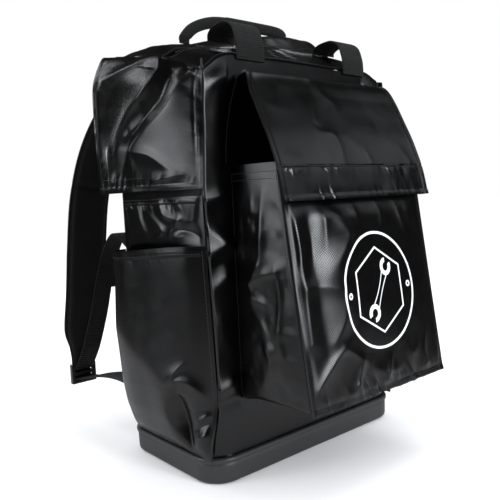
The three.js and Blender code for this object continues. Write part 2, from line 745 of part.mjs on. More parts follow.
function lowSidePocket(side) {
  const low = TRAY_HEIGHT + GAP;
  const first = LOW_POCKET_PLAN[0].along;
  const last = LOW_POCKET_PLAN[LOW_POCKET_PLAN.length - 1].along;
  const surface = (u, v) => {
    const along = lerp(first, last, u);
    const y = along * BAG_HALF_DEPTH;
    const z = low + v * (LOW_POCKET_HEIGHT - LOW_POCKET_SAG * smooth(u));
    const plan = read(LOW_POCKET_PLAN, "along", along, "out");
    const rise = read(LOW_POCKET_RISE, "up", v, "out");
    const fold = SIDE_FOLD * foldRise(LOW_POCKET_FOLDS, u, v, 1.4);
    const out = LOW_POCKET_BULGE * plan * rise + fold;
    return onSide(side, point(wallHalf(y, z) + GAP + CLOTH + out, y, z));
  };
  return sheet(surface, 13, 12, CLOTH, side, () => point(side, 0, 0));
}

function highSidePocket(side) {
  const first = HIGH_POCKET_PLAN[0].along;
  const last = HIGH_POCKET_PLAN[HIGH_POCKET_PLAN.length - 1].along;
  const surface = (u, v) => {
    const along = lerp(first, last, u);
    const y = along * BAG_HALF_DEPTH;
    const z = HIGH_POCKET_BOTTOM + v * HIGH_POCKET_HEIGHT;
    const plan = read(HIGH_POCKET_PLAN, "along", along, "out");
    const fold = SIDE_FOLD * 0.6 * foldRise(HIGH_POCKET_FOLDS, u, v, 0.6);
    const out = HIGH_POCKET_BULGE * plan * smooth(v / 0.35) + fold;
    return onSide(side, point(wallHalf(y, z) + GAP + CLOTH + out, y, z));
  };
  return sheet(surface, 12, 6, CLOTH, side, () => point(side, 0, 0));
}

function sideFlap(side) {
  const surface = (u, v) => {
    const y = lerp(-0.5, 0.5, u) * SIDE_FLAP_LENGTH;
    const rim = rimHeight(FRONT_WIDTH / 2, y);
    const standoff = SIDE_FLAP_STANDOFF * lerp(0.62, 1, smooth(u * 1.6));
    const fold = SIDE_FOLD * foldRise(SIDE_FLAP_FOLDS, u, v, 0.8);
    const out = CLOTH + GAP + standoff * walk(SIDE_FLAP_PROFILE, v, "out") + fold * 0.8;
    const drop = rim - (RIM_HEIGHT - SIDE_FLAP_DROP);
    const z = rim - drop * walk(SIDE_FLAP_PROFILE, v, "below");
    return onSide(side, point(wallHalf(y, z) + out, y, z));
  };
  const straight = (u, v) => (v < 0.2 ? point(side, 0, 0) : null);
  return sheet(surface, 13, 12, CLOTH, -side, straight);
}

function backPanel() {
  const outline = (inset) => {
    const shape = {
      front: PAD_PANEL_WIDTH / 2 - inset,
      back: PAD_PANEL_WIDTH / 2 - inset,
      depth: (PAD_PANEL_TOP - PAD_PANEL_BOTTOM) / 2 - inset,
      frontRadius: PAD_PANEL_CORNER,
      backRadius: PAD_PANEL_CORNER,
    };
    return outlinePoints(shape, 4, 1);
  };
  const middle = (PAD_PANEL_TOP + PAD_PANEL_BOTTOM) / 2;
  const ring = (inset, y) => outline(inset).map(([x, z]) => point(x, y, z + middle));
  const edge = PAD_PANEL_THICKNESS * 0.45;
  return loft([ring(0, BACK_FACE), ring(0, PANEL_FACE - edge), ring(edge, PANEL_FACE)]);
}

// A place on the harness, from its shares, on the side wanted.
function harnessPlace(rows, share, side) {
  return onSide(
    side,
    point(
      STRAP_SPREAD * walk(rows, share, "side"),
      PANEL_FACE + GAP + STRAP_REACH * walk(rows, share, "out"),
      RIM_HEIGHT * walk(rows, share, "up"),
    ),
  );
}

// Places along a harness route, with the direction of travel at each.
function harnessRoute(rows, steps, side) {
  const near = 0.25 / steps;
  return Array.from({ length: steps + 1 }, (_, k) => {
    const share = k / steps;
    const [a, b] = [Math.max(share - near, 0), Math.min(share + near, 1)];
    const travel = harnessPlace(rows, b, side).sub(harnessPlace(rows, a, side)).normalize();
    return { share, at: harnessPlace(rows, share, side), travel };
  });
}

function shoulderPad(side) {
  const route = harnessRoute(PAD_ROUTE, 24, side);
  const end = ADJUSTER_LEVEL + ADJUSTER_HEIGHT / 2 + GAP;
  const places = route.map(({ share, at, travel }, k) => {
    const last = k === route.length - 1;
    const going = k === 0 ? point(0, 1, 0) : last ? point(0, 0, -1) : travel;
    const across = point(1, 0, 0).addScaledVector(going, -going.x).normalize();
    const thick = point(0, 0, 0).crossVectors(going, across);
    const thinner = share > 0.85 ? lerp(1, 0.45, (share - 0.85) / 0.15) : 1;
    return {
      at: last ? point(at.x, at.y, end) : at,
      wide: across.multiplyScalar((STRAP_WIDTH / 2) * walk(PAD_ROUTE, share, "wide")),
      thick: thick.multiplyScalar((STRAP_THICKNESS / 2) * thinner),
    };
  });
  return band(places, true);
}

// Where the adjuster hangs: at the shoulder pad's end.
function adjusterPlace(side) {
  const end = harnessPlace(PAD_ROUTE, 1, side);
  return point(end.x, end.y, ADJUSTER_LEVEL);
}

function adjuster(side) {
  const [w, h] = [ADJUSTER_WIDTH / 2, ADJUSTER_HEIGHT / 2];
  const shape = new THREE.Shape();
  shape.moveTo(-w, -h);
  shape.lineTo(w, -h);
  shape.lineTo(w, h);
  shape.lineTo(-w, h);
  const slotHeight = (ADJUSTER_HEIGHT - 3 * ADJUSTER_BAR) / 2;
  for (const low of [-h + ADJUSTER_BAR, ADJUSTER_BAR / 2]) {
    const slot = new THREE.Path();
    slot.moveTo(-w + ADJUSTER_BAR, low);
    slot.lineTo(-w + ADJUSTER_BAR, low + slotHeight);
    slot.lineTo(w - ADJUSTER_BAR, low + slotHeight);
    slot.lineTo(w - ADJUSTER_BAR, low);
    shape.holes.push(slot);
  }
  const plate = new THREE.ExtrudeGeometry(shape, {
    depth: ADJUSTER_THICKNESS,
    bevelEnabled: false,
  });
  plate.rotateX(Math.PI / 2);
  const at = adjusterPlace(side);
  return plate.translate(at.x, at.y + ADJUSTER_THICKNESS / 2, at.z);
}

// Flat webbing along a harness route: it turns from lying across to standing on edge.
function webbing(route, twist, ends) {
  const half = WEBBING_WIDTH / 2;
  const places = route.map(({ share, at, travel }, k) => {
    const last = k === route.length - 1;
    const going = (k === 0 && ends[0]) || (last && ends[1]) || travel;
    const flat = point(1, 0, 0).addScaledVector(going, -going.x).normalize();
    const up = point(0, 0, 0).crossVectors(going, flat);
    const angle = twist(share);
    const wide = flat.clone().multiplyScalar(Math.cos(angle));
    wide.addScaledVector(up, Math.sin(angle));
    const thick = point(0, 0, 0).crossVectors(going, wide);
    return { at, wide: wide.multiplyScalar(half), thick: thick.multiplyScalar(WEBBING / 2) };
  });
  return band(places);
}

function lowStrap(side) {
  const route = harnessRoute(LOW_STRAP_ROUTE, 12, side);
  const home = adjusterPlace(side);
  const face = home.y - ADJUSTER_THICKNESS / 2 - GAP;
  route[route.length - 1].at = point(home.x, face, home.z - ADJUSTER_HEIGHT / 4);
  const back = point(0, 1, 0);
  return webbing(route, (share) => (Math.PI / 2) * (1 - smooth(share * 1.1)), [back, back]);
}

function strapTail(side) {
  const route = harnessRoute(TAIL_ROUTE, 26, side);
  const home = adjusterPlace(side);
  const face = home.y - ADJUSTER_THICKNESS / 2 - GAP;
  route[0].at = point(home.x, face, home.z + ADJUSTER_HEIGHT / 4);
  const forward = point(0, -1, 0);
  return webbing(route, () => 0, [forward, forward]);
}

// Where the chest strap meets the shoulder pad's inner edge.
function chestStart() {
  const route = harnessRoute(PAD_ROUTE, 120, -1);
  const spot = route.slice(40).find(({ at }) => at.z < CHEST_LEVEL + WEBBING_WIDTH / 2);
  return point(spot.at.x + STRAP_WIDTH / 2 + 2 * GAP, spot.at.y, CHEST_LEVEL);
}

function chestStrap(side) {
  const start = chestStart();
  const end = -CHEST_BUCKLE_WIDTH / 2 - GAP;
  const steps = 6;
  const places = Array.from({ length: steps + 1 }, (_, k) => {
    const x = lerp(start.x, end, k / steps);
    const slack = 4 * Math.sin((Math.PI / 2) * (k / steps));
    return {
      at: onSide(side, point(-x, start.y + slack, start.z)),
      wide: point(0, 0, WEBBING_WIDTH / 2),
      thick: point(0, WEBBING / 2, 0),
    };
  });
  return band(places);
}

function chestBuckle() {
  const start = chestStart();
  const y = start.y + 4;
  const places = [-1, -0.7, 0.7, 1].map((along) => {
    const end = Math.abs(along) === 1;
    return {
      at: point((along * CHEST_BUCKLE_WIDTH) / 2, y, CHEST_LEVEL),
      wide: point(0, 0, (CHEST_BUCKLE_HEIGHT / 2) * (end ? 0.86 : 1)),
      thick: point(0, (CHEST_BUCKLE_THICKNESS / 2) * (end ? 0.6 : 1), 0),
    };
  });
  return band(places, true);
}

// The highest place of the zipped top under a handle's foot.
function handleGround(x, inward) {
  const y = HANDLE_SETBACK - BAG_HALF_DEPTH;
  const half = wallHalf(y, RIM_HEIGHT);
  const spots = [0, 0.5, 1].flatMap((share) => {
    return [-1, 1].map((edge) => {
      const beside = y + (edge * HANDLE_THICKNESS) / 2;
      return topPoint((x + share * inward * HANDLE_TALL) / half, beside).z;
    });
  });
  return Math.max(...spots) + GAP;
}

function grabHandle() {
  const y = HANDLE_SETBACK - BAG_HALF_DEPTH;
  const steps = 20;
  const last = HANDLE_ROUTE[HANDLE_ROUTE.length - 1].across;
  const right = handleGround(HANDLE_SPAN * HANDLE_ROUTE[0].across, 1);
  const left = handleGround(HANDLE_SPAN * last, -1);
  const spot = (share) => {
    const x = HANDLE_SPAN * walk(HANDLE_ROUTE, share, "across");
    const foot = share < 0.5 ? right : left;
    return point(x, y, lerp(foot, HANDLE_TOP, walk(HANDLE_ROUTE, share, "up")));
  };
  const places = Array.from({ length: steps + 1 }, (_, k) => {
    const share = k / steps;
    const [a, b] = [Math.max(share - 0.02, 0), Math.min(share + 0.02, 1)];
    const end = k === 0 || k === steps;
    const travel = end ? point(0, 0, k === 0 ? 1 : -1) : spot(b).sub(spot(a)).normalize();
    const lean = smooth(2 * walk(HANDLE_ROUTE, share, "up"));
    const inward = point(travel.z, 0, -travel.x * lean).normalize();
    const middle = smooth(Math.min(share, 1 - share) / 0.12);
    return {
      at: spot(share).addScaledVector(inward, HANDLE_TALL / 2),
      wide: inward.multiplyScalar(HANDLE_TALL / 2),
      thick: point(0, (HANDLE_THICKNESS / 2) * lerp(0.5, 1, middle), 0),
    };
  });
  return band(places, true);
}

function liftingLoop(place) {
  const steps = 14;
  const half = wallHalf(ZIP_Y, RIM_HEIGHT);
  const reach = ZIP_SETBACK * LOOP_REACH;
  const front = FRONT_FACE - WEBBING / 2;
  const low = RIM_HEIGHT - LOOP_FOOT;
  const landing = front + reach;
  const edges = [-1, -0.5, 0, 0.5, 1].flatMap((edge) => {
    const share = (place + (edge * LOOP_WIDTH) / 2) / half;
    return [-1, 1].map((turn) => topPoint(share, landing + (turn * WEBBING) / 2).z);
  });
  const floor = Math.max(...edges) + 2 * GAP;
  const high = RIM_HEIGHT + LOOP_RISE;
  const crest = 4 / (LOOP_ROUTE.length - 1);
  const spot = (share) => {
    const foot = share < crest ? low : floor;
    const rise = lerp(foot, high, walk(LOOP_ROUTE, share, "up"));
    return point(place, front + reach * walk(LOOP_ROUTE, share, "back"), rise);
  };
  const places = Array.from({ length: steps + 1 }, (_, k) => {
    const share = k / steps;
    const [a, b] = [Math.max(share - 0.02, 0), Math.min(share + 0.02, 1)];
    const end = k === 0 || k === steps;
    const travel = end ? point(0, 0, k === 0 ? 1 : -1) : spot(b).sub(spot(a)).normalize();
    return {
      at: spot(share),
      wide: point(LOOP_WIDTH / 2, 0, 0),
      thick: point(0, travel.z, -travel.y).multiplyScalar(WEBBING / 2),
    };
  });
  return band(places);
}

const pack = new THREE.Group();
function add(name, geometry, material) {
  const mesh = new THREE.Mesh(geometry, MATERIALS[material]);
  mesh.name = name;
  pack.add(mesh);
}

add("base_tray", baseTray(), "tray");
add("bag_body", bagBody(), "vinyl");
add("top_front_panel", topFrontPanel(), "vinyl");
add("top_rear_panel", topRearPanel(), "vinyl");
add("zipper", zipper(), "zipper");
add("zipper_slider", zipperSlider(), "plastic");
add("front_pocket_gusset", pocketGusset(), "vinyl");
add("front_pocket_panel", pocketPanel(), "vinyl");
add("front_flap_yoke", flapYoke(), "vinyl");
add("front_flap", frontFlap(), "vinyl");
add("back_panel", backPanel(), "padding");
add("grab_handle", grabHandle(), "webbing");
add("lifting_loop_right", liftingLoop(LOOP_PLACE_RIGHT), "webbing");
add("lifting_loop_left", liftingLoop(LOOP_PLACE_LEFT), "webbing");
add("chest_buckle", chestBuckle(), "plastic");
for (const [word, side] of [
  ["right", -1],
  ["left", 1],
]) {
  add(`side_pocket_low_${word}`, lowSidePocket(side), "vinyl");
  add(`side_pocket_high_${word}`, highSidePocket(side), "vinyl");
  add(`side_flap_${word}`, sideFlap(side), "vinyl");
  add(`shoulder_pad_${word}`, shoulderPad(side), "padding");
  add(`adjuster_${word}`, adjuster(side), "plastic");
  add(`lower_strap_${word}`, lowStrap(side), "webbing");
  add(`strap_tail_${word}`, strapTail(side), "webbing");
  add(`chest_strap_${word}`, chestStrap(side), "webbing");
}

export default pack;
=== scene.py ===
import math

import bpy
import numpy as np
from mathutils import Matrix, Vector


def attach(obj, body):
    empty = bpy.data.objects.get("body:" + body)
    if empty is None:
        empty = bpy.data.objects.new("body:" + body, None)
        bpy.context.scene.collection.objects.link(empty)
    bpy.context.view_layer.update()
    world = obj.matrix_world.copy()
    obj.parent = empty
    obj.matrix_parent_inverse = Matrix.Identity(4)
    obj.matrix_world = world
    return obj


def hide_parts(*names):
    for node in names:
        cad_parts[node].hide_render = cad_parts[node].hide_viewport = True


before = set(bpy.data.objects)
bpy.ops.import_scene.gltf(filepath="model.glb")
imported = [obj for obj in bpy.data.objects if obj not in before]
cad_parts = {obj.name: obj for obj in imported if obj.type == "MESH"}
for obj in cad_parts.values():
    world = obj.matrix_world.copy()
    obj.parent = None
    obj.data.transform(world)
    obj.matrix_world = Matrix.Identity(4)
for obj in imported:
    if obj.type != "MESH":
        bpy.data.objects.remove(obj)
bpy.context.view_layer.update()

# Sizes in millimetres, the same as in the part's source.
TRAY_WIDTH, TRAY_DEPTH, TRAY_HEIGHT = 295, 166, 28
TRAY_CORNER, TRAY_WALL, TRAY_FILLET = 30, 3, 6
LIP_HEIGHT, LIP_OUT = 4.5, 1.8
CLOTH, GAP = 2, 0.35
RIM_HEIGHT, BACK_RISE, CORNER_DROOP = 430, 28, 6
FRONT_WIDTH, BACK_WIDTH = 270, 288
SEAM_RADIUS, BACK_RADIUS, TRAY_BLEND = 2, 16, 62
CORNER_SINK_RIGHT, CORNER_SINK_LEFT = 11, 2
ZIP_SETBACK, ZIP_WIDTH, ZIP_LENGTH, ZIP_CROWN = 60, 7, 240, 19
RIDGE_SETBACK, RIDGE_CROWN = 92, 41
POCKET_WIDTH, POCKET_BOTTOM, POCKET_TOP = 210, 80, 321
POCKET_DEPTH_LOW, POCKET_DEPTH_HIGH = 103, 67.5
POCKET_FRONT_LIFT, POCKET_CORNER, POCKET_FOLD, POCKET_BELLY = 8, 14, 9, 3
YOKE_HALF_LOW, YOKE_HALF_HIGH, YOKE_HEIGHT, YOKE_THICKNESS = 116, 95, 90, 3
FLAP_HALF_ROOT, FLAP_HALF_EDGE, FLAP_DROP, FLAP_REACH = 94, 112, 121, 82
LOW_POCKET_HEIGHT, LOW_POCKET_BULGE, LOW_POCKET_SAG = 216, 26, 8
HIGH_POCKET_BOTTOM, HIGH_POCKET_HEIGHT, HIGH_POCKET_BULGE = 222, 71, 8
SIDE_FLAP_LENGTH, SIDE_FLAP_DROP, SIDE_FLAP_STANDOFF = 169, 130, 16.5
PAD_PANEL_WIDTH, PAD_PANEL_BOTTOM, PAD_PANEL_TOP = 250, 48, 436
PAD_PANEL_THICKNESS = 9
STRAP_SPREAD, STRAP_REACH, STRAP_WIDTH, STRAP_THICKNESS = 147, 115, 54, 11
WEBBING_WIDTH, WEBBING = 25, 2
ADJUSTER_HEIGHT, ADJUSTER_THICKNESS, ADJUSTER_LEVEL = 26, 6, 66
CHEST_LEVEL, CHEST_BUCKLE_WIDTH = 188, 52
HANDLE_SPAN, HANDLE_TOP, HANDLE_TALL, HANDLE_THICKNESS, HANDLE_SETBACK = 162, 506, 13, 8, 110
LOOP_WIDTH, LOOP_RISE, LOOP_FOOT, LOOP_REACH = 38, 38, 3, 0.76
LOOP_PLACES = {"right": -73, "left": 87}

# Sizes that only the dressed model uses: stitches and ribs, the cloth of the bellows and of the
# side pockets laid flat, the printed mark, the zipper's teeth, the sewn channels of the back,
# seams above a flap's foot or along a pad, and the piping. MM is a millimetre in metres.
MM = 0.001
STITCH_STEP, STITCH_LENGTH = 3.6, 2.6
SHORT_STITCH = (3.4, 2.4)
STRAP_RIB, LOOP_RIB = 2.6, 1.8
FLAP_WIDTH = 2 * FLAP_HALF_EDGE
GUSSET_LENGTH, GUSSET_DEPTH = 690, 100
LOW_POCKET_CLOTH = (148, 210)
HIGH_POCKET_LENGTH = 128
MARK_X, MARK_Z, MARK_RING, MARK_HEXAGON = 8, 190, 58, 43
MARK_BOLT, MARK_BOLT_SPREAD = 2.4, 50.2
SPANNER_SHANK, SPANNER_HUB, SPANNER_JAW, SPANNER_HEAD = 19, 26, 4.6, 9.2
SPANNER_LEAN = 58
TOOTH_COUNT, TOOTH_SIZE = 150, (0.62, 1.5, 0.75)
CHANNEL_X, CHANNEL_Z, CHANNEL_DEPTH = 34, 96, 2.2
FLAP_SEAMS, SIDE_FLAP_SEAMS, PAD_SEAMS = (4, 33), (5, 14), (62.0, 190.0)
PIPING_RADIUS, PIPING_OUT = 1.1, 0.4
RIB_STEP, RIB_SWELL = 0.75, 0.16

BAG_HALF_DEPTH = TRAY_DEPTH / 2 - TRAY_WALL - GAP
BAG_TRAY_HALF = TRAY_WIDTH / 2 - TRAY_WALL - GAP
BAG_TRAY_RADIUS = TRAY_CORNER - TRAY_WALL - GAP
BAG_FLOOR = TRAY_WALL + GAP
FRONT_FACE = -BAG_HALF_DEPTH - GAP
BACK_FACE = BAG_HALF_DEPTH + GAP
PANEL_FACE = BACK_FACE + PAD_PANEL_THICKNESS
ZIP_Y = -BAG_HALF_DEPTH + ZIP_SETBACK
RIDGE_Y = -BAG_HALF_DEPTH + RIDGE_SETBACK
FLAP_ROOT = POCKET_TOP + GAP + YOKE_HEIGHT

# Tables of sections, as shares of the sizes above.
BAG_SHAPE = {
    "up": [0, 0.18, 0.4, 0.55, 0.7, 0.88, 1],
    "front": [1, 0.982, 0.998, 1.014, 1.026, 1, 0.994],
    "back": [1, 0.99, 1, 1.008, 1.01, 1, 0.996],
}
TOP_ACROSS = {
    "share": [-1, -0.93, -0.56, -0.28, 0, 0.35, 0.7, 0.9, 1],
    "zip": [0, 0.08, 0.5, 0.85, 1, 1, 1, 0.9, 0],
    "ridge": [0, 0.14, 0.34, 0.58, 0.77, 0.94, 1, 0.93, 0],
}
LOW_POCKET_PLAN = {
    "along": [-0.985, -0.75, -0.38, 0, 0.38, 0.63, 0.78, 0.89, 0.93],
    "out": [0, 0.45, 0.74, 0.91, 1, 0.92, 0.68, 0.25, 0],
}
LOW_POCKET_RISE = {
    "up": [0, 0.06, 0.12, 0.2, 0.32, 0.5, 1],
    "out": [0.03, 0.31, 0.52, 0.78, 0.97, 1, 0.97],
}
HIGH_POCKET_PLAN = {"along": [-0.985, -0.6, 0, 0.5, 0.76], "out": [0, 0.75, 1, 0.85, 0]}
FLAP_PROFILE = {
    "reach": [0, 0.186, 0.36, 0.5, 0.63, 0.745, 0.835, 0.91, 0.962, 1],
    "below": [-0.02, -0.047, -0.014, 0.15, 0.32, 0.47, 0.61, 0.745, 0.875, 1],
}
SIDE_FLAP_PROFILE = {
    "out": [0, 0.2, 0.48, 0.9, 1, 0.95, 0.82, 0.77],
    "below": [-0.01, 0, 0.055, 0.187, 0.34, 0.6, 0.86, 1],
}
PAD_ROUTE = {
    "side": [0.48, 0.485, 0.52, 0.61, 0.74, 0.83, 0.9, 0.935, 0.97, 0.985, 0.987],
    "out": [0, 0.12, 0.32, 0.6, 0.82, 0.93, 0.92, 0.94, 0.98, 1, 1],
    "up": [0.965, 0.966, 0.985, 0.955, 0.84, 0.7, 0.54, 0.4, 0.29, 0.235, 0.205],
    "wide": [0.9, 0.92, 1, 1, 1, 1, 1, 1, 0.94, 0.62, 0.55],
}
LOW_STRAP_ROUTE = {
    "side": [0.9, 0.9, 0.92, 0.96, 0.985],
    "out": [0, 0.08, 0.4, 0.75, 0.95],
    "up": [0.17, 0.17, 0.163, 0.15, 0.14],
}
TAIL_ROUTE = {
    "side": [0.985, 0.94, 0.86, 0.79, 0.73, 0.71, 0.74, 0.77, 0.77],
    "out": [0.93, 0.86, 0.825, 0.8, 0.75, 0.62, 0.4, 0.12, 0],
    "up": [0.178, 0.24, 0.34, 0.45, 0.53, 0.575, 0.58, 0.55, 0.548],
}
HANDLE_ROUTE = {
    "across": [-0.5, -0.49, -0.4, -0.25, -0.08, 0.2, 0.45, 0.53, 0.53],
    "up": [0, 0.25, 0.62, 0.88, 0.98, 1, 0.94, 0.55, 0],
}
LOOP_ROUTE = {
    "back": [0, 0, 0.03, 0.16, 0.45, 0.78, 0.98, 1],
    "up": [0, 0.24, 0.5, 0.84, 1, 0.9, 0.5, 0],
}

# Folds. Each row: the points of the fold's line (shares across and down its sheet), its height
# along the line, the widths of its two flanks and the radius of its crest (all mm).
SIDE_FLAP_FOLDS = [
    ([(0.357, 0), (0.306, 0.15), (0.415, 0.317), (0.582, 0.46), (0.704, 0.611), (0.762, 0.736)],
     (2.5, 4.2, 3.6, 2.6), (6, 16), 1.3),
    ([(0.873, 0.223), (0.707, 0.162), (0.54, 0.096), (0.386, 0)], (1.2, 2.2, 2.2, 1.2), (9, 9), 1.3),
    ([(0.136, 0.185), (0.179, 0.308), (0.26, 0.439), (0.417, 0.581), (0.531, 0.68)],
     (1.5, 3.4, 3.6, 2.2), (24, 6), 2.2),
    ([(0.223, 0.109), (0.286, 0.333), (0.46, 0.504), (0.601, 0.648), (0.7, 0.85)],
     (-1.5, -3, -3, -2, -1), (6, 6), 3),
    ([(0.426, 0.393), (0.447, 0.482), (0.631, 0.613)], (0.8, 1.5, 0.6), (3, 3), 0.8),
    ([(0.557, 0.707), (0.454, 0.724), (0.352, 0.755), (0.191, 0.87)], (2.2, 2.4, 2.0, 0.8), (7, 12), 0.9),
    ([(0.557, 0.707), (0.539, 0.809), (0.542, 0.877), (0.569, 0.977)],
     (2.2, 2.6, 2.4, 1.8), (14, 4), 0.9),
    ([(0.571, 0.699), (0.564, 0.724)], (-2.6, -2.6), (4, 4), 1.2),
    ([(0.357, 0.927), (0.246, 0.907), (0.144, 0.886)], (0.8, 1.6, 0.6), (4, 4), 0.9),
    ([(0.813, 0.719), (0.836, 0.915)], (1.6, 1.6), (5, 5), 1.5),
    ([(0.188, 0), (0.118, 0), (0.121, 0.052)], (-1.5, -2.2, -0.6), (5, 5), 1.5),
    ([(0.255, 0), (0.169, 0)], (1.0, 1.2), (4, 4), 1.0),
]
LOW_POCKET_FOLDS = [
    ([(0.893, 0.383), (0.537, 0.558), (0.359, 0.67), (0.37, 0.811), (0.221, 0.953)],
     (2, 4.5, 5.5, 5, 2), (26, 30), 9),
    ([(0.266, 0.691), (0.264, 0.749), (0.238, 0.848), (0.19, 0.953)], (-3, -8, -9, -5), (8, 4.5), 2),
    ([(0.299, 0.727), (0.25, 0.645), (0.162, 0.639), (0.075, 0.681), (0.003, 0.766)],
     (1, 3.6, 3.4, 3, 1.5), (5, 8), 1.2),
    ([(0.304, 0.697), (0.348, 0.77), (0.322, 0.867), (0.202, 0.961)], (1.5, 2.6, 2.2, 1), (4, 12), 1.0),
    ([(0.195, 0.555), (0.259, 0.601), (0.314, 0.648)], (1, 2, 1), (4, 4), 1.0),
    ([(0.109, 0.826), (0.043, 0.795), (0.001, 0.787)], (1.5, 2.6, 2), (3, 4), 0.9),
    ([(0.144, 0.866), (0.046, 0.829), (0.001, 0.819)], (-1.5, -2.4, -2), (3, 3), 1.2),
    ([(0.119, 0.915), (0.033, 0.882), (0, 0.886)], (1.5, 3, 2), (5, 6), 2),
    ([(0.719, 0.024), (0.714, 0.174), (0.84, 0.411)], (1, 1.6, 1), (10, 8), 6),
]
HIGH_POCKET_FOLDS = [
    ([(0.709, 0.121), (0.688, 0.309), (0.644, 0.485)], (1.5, 2.2, 1), (4, 4), 0.9),
    ([(0.577, 0.224), (0.414, 0.455), (0.468, 0.555)], (1, 2.2, 1), (4, 5), 0.9),
    ([(0.429, 0.073), (0.376, 0.245), (0.228, 0.327)], (1.8, 2.6, 1.5), (5, 4), 0.9),
    ([(0.228, 0.327), (0.305, 0.482), (0.331, 0.551)], (1.5, 2, 1), (4, 4), 0.9),
    ([(0.239, 0.465), (0.129, 0.495), (0.064, 0.565)], (-2, -3, -2), (5, 5), 1.5),
    ([(0.192, 0.536), (0.242, 0.577)], (1.2, 1), (3, 3), 0.9),
    ([(0.067, 0.121), (0.097, 0.347)], (1, 1.6), (5, 5), 1.5),
]
FRONT_FLAP_FOLDS = [
    ([(0.413, 0.121), (0.339, 0.373), (0.314, 0.535), (0.342, 0.576), (0.414, 0.604), (0.414, 0.795)],
     (1.6, 2.4, 2, 2, 1.4), (10, 7), 1.2),
    ([(0.478, 0.062), (0.434, 0.274), (0.492, 0.347), (0.483, 0.459)], (0.8, 1.8, 0.8), (8, 8), 2),
    ([(0.316, 0.528), (0.337, 0.571)], (-0.9, -0.9), (2.5, 2.5), 0.8),
    ([(0.04, 0.342), (0.091, 0.409), (0.211, 0.438)], (0.8, 1.8, 0.8), (10, 12), 4),
    ([(0.741, 0.832), (0.76, 0.885), (0.763, 0.946)], (0.8, 1.6, 0.8), (3.5, 3.5), 1),
    ([(0.092, 0.721), (0.134, 0.755), (0.161, 0.793)], (0.8, 1.4, 0.8), (5, 5), 1.5),
    ([(0.588, 0.68), (0.612, 0.774)], (0.5, 1.0), (4, 4), 1.2),
    ([(0.867, 0.676), (0.914, 0.773)], (0.5, 1.0), (5, 5), 1.2),
    ([(0.04, 0.812), (0.122, 0.836), (0.163, 0.94)], (0.8, 1.2, 0.6), (6, 6), 1.5),
    ([(0.675, 0.26), (0.744, 0.457), (0.722, 0.679)], (-0.8, -1.2, -0.4), (16, 16), 6),
]
FRONT_PANEL_FOLDS = [
    ([(0.29, 0.1), (0.26, 0.4), (0.24, 0.62), (0.22, 0.8)], (3, 5.5, 5, 2), (34, 60), 16),
    ([(0.13, 0.3), (0.12, 0.55), (0.14, 0.8)], (-1, -2.4, -1), (12, 14), 5),
    ([(0.026, 0.177), (0.039, 0.279), (0.04, 0.377), (0.019, 0.442), (0.016, 0.57), (0.026, 0.718)],
     (2, 3, 2.6, 2.6, 2), (5, 12), 1.6),
    ([(0.239, 0.189), (0.314, 0.255), (0.35, 0.307), (0.305, 0.364), (0.265, 0.409)],
     (2, 2.8, 2.4, 1.2), (10, 8), 2),
    ([(0.122, 0.245), (0.132, 0.357), (0.096, 0.452)], (-1.6, -2.6, -1), (9, 9), 4),
    ([(0.018, 0.508), (0.121, 0.499), (0.276, 0.526)], (1, 2.2, 1), (10, 9), 2.5),
    ([(0.268, 0.542), (0.25, 0.646), (0.18, 0.731)], (1, 2, 1.2), (8, 9), 2.5),
    ([(0.224, 0.767), (0.135, 0.826), (0.048, 0.9)], (1.6, 2.8, 1.4), (6, 12), 1.2),
    ([(0.24, 0.773), (0.314, 0.811), (0.389, 0.859)], (1, 1.8, 0.6), (7, 6), 1.4),
    ([(0.866, 0.206), (0.881, 0.297), (0.937, 0.425), (0.908, 0.658)], (1, 1.8, 1.6, 0.6), (8, 8), 2.5),
    ([(0.966, 0.832), (0.973, 0.905), (0.982, 0.963)], (1.4, 2.2, 1.4), (6, 5), 1.2),
    ([(0.421, 0.886), (0.537, 0.918), (0.636, 0.916)], (0.8, 1.8, 0.8), (8, 8), 3),
    ([(0.7, 0.811), (0.747, 0.873), (0.799, 0.849)], (0.6, 1.4, 0.5), (8, 8), 3),
    ([(0.19, 0.16), (0.21, 0.24), (0.2, 0.36)], (1.2, 2, 0.7), (5, 7), 1.2),
    ([(0.45, 0.17), (0.43, 0.22), (0.47, 0.31)], (1, 1.8, 0.6), (5, 6), 1.2),
    ([(0.6, 0.16), (0.63, 0.24), (0.61, 0.3)], (1, 1.6, 0.5), (6, 5), 1.2),
    ([(0.76, 0.17), (0.79, 0.25), (0.83, 0.34)], (1, 1.8, 0.6), (5, 6), 1.2),
    ([(0.3, 0.93), (0.33, 0.87), (0.36, 0.82)], (1.6, 1.4, 0.4), (5, 5), 1.2),
    ([(0.52, 0.95), (0.54, 0.9), (0.58, 0.85)], (1.6, 1.3, 0.4), (4, 5), 1.2),
    ([(0.86, 0.94), (0.85, 0.88), (0.88, 0.8)], (1.6, 1.3, 0.4), (5, 5), 1.2),
]
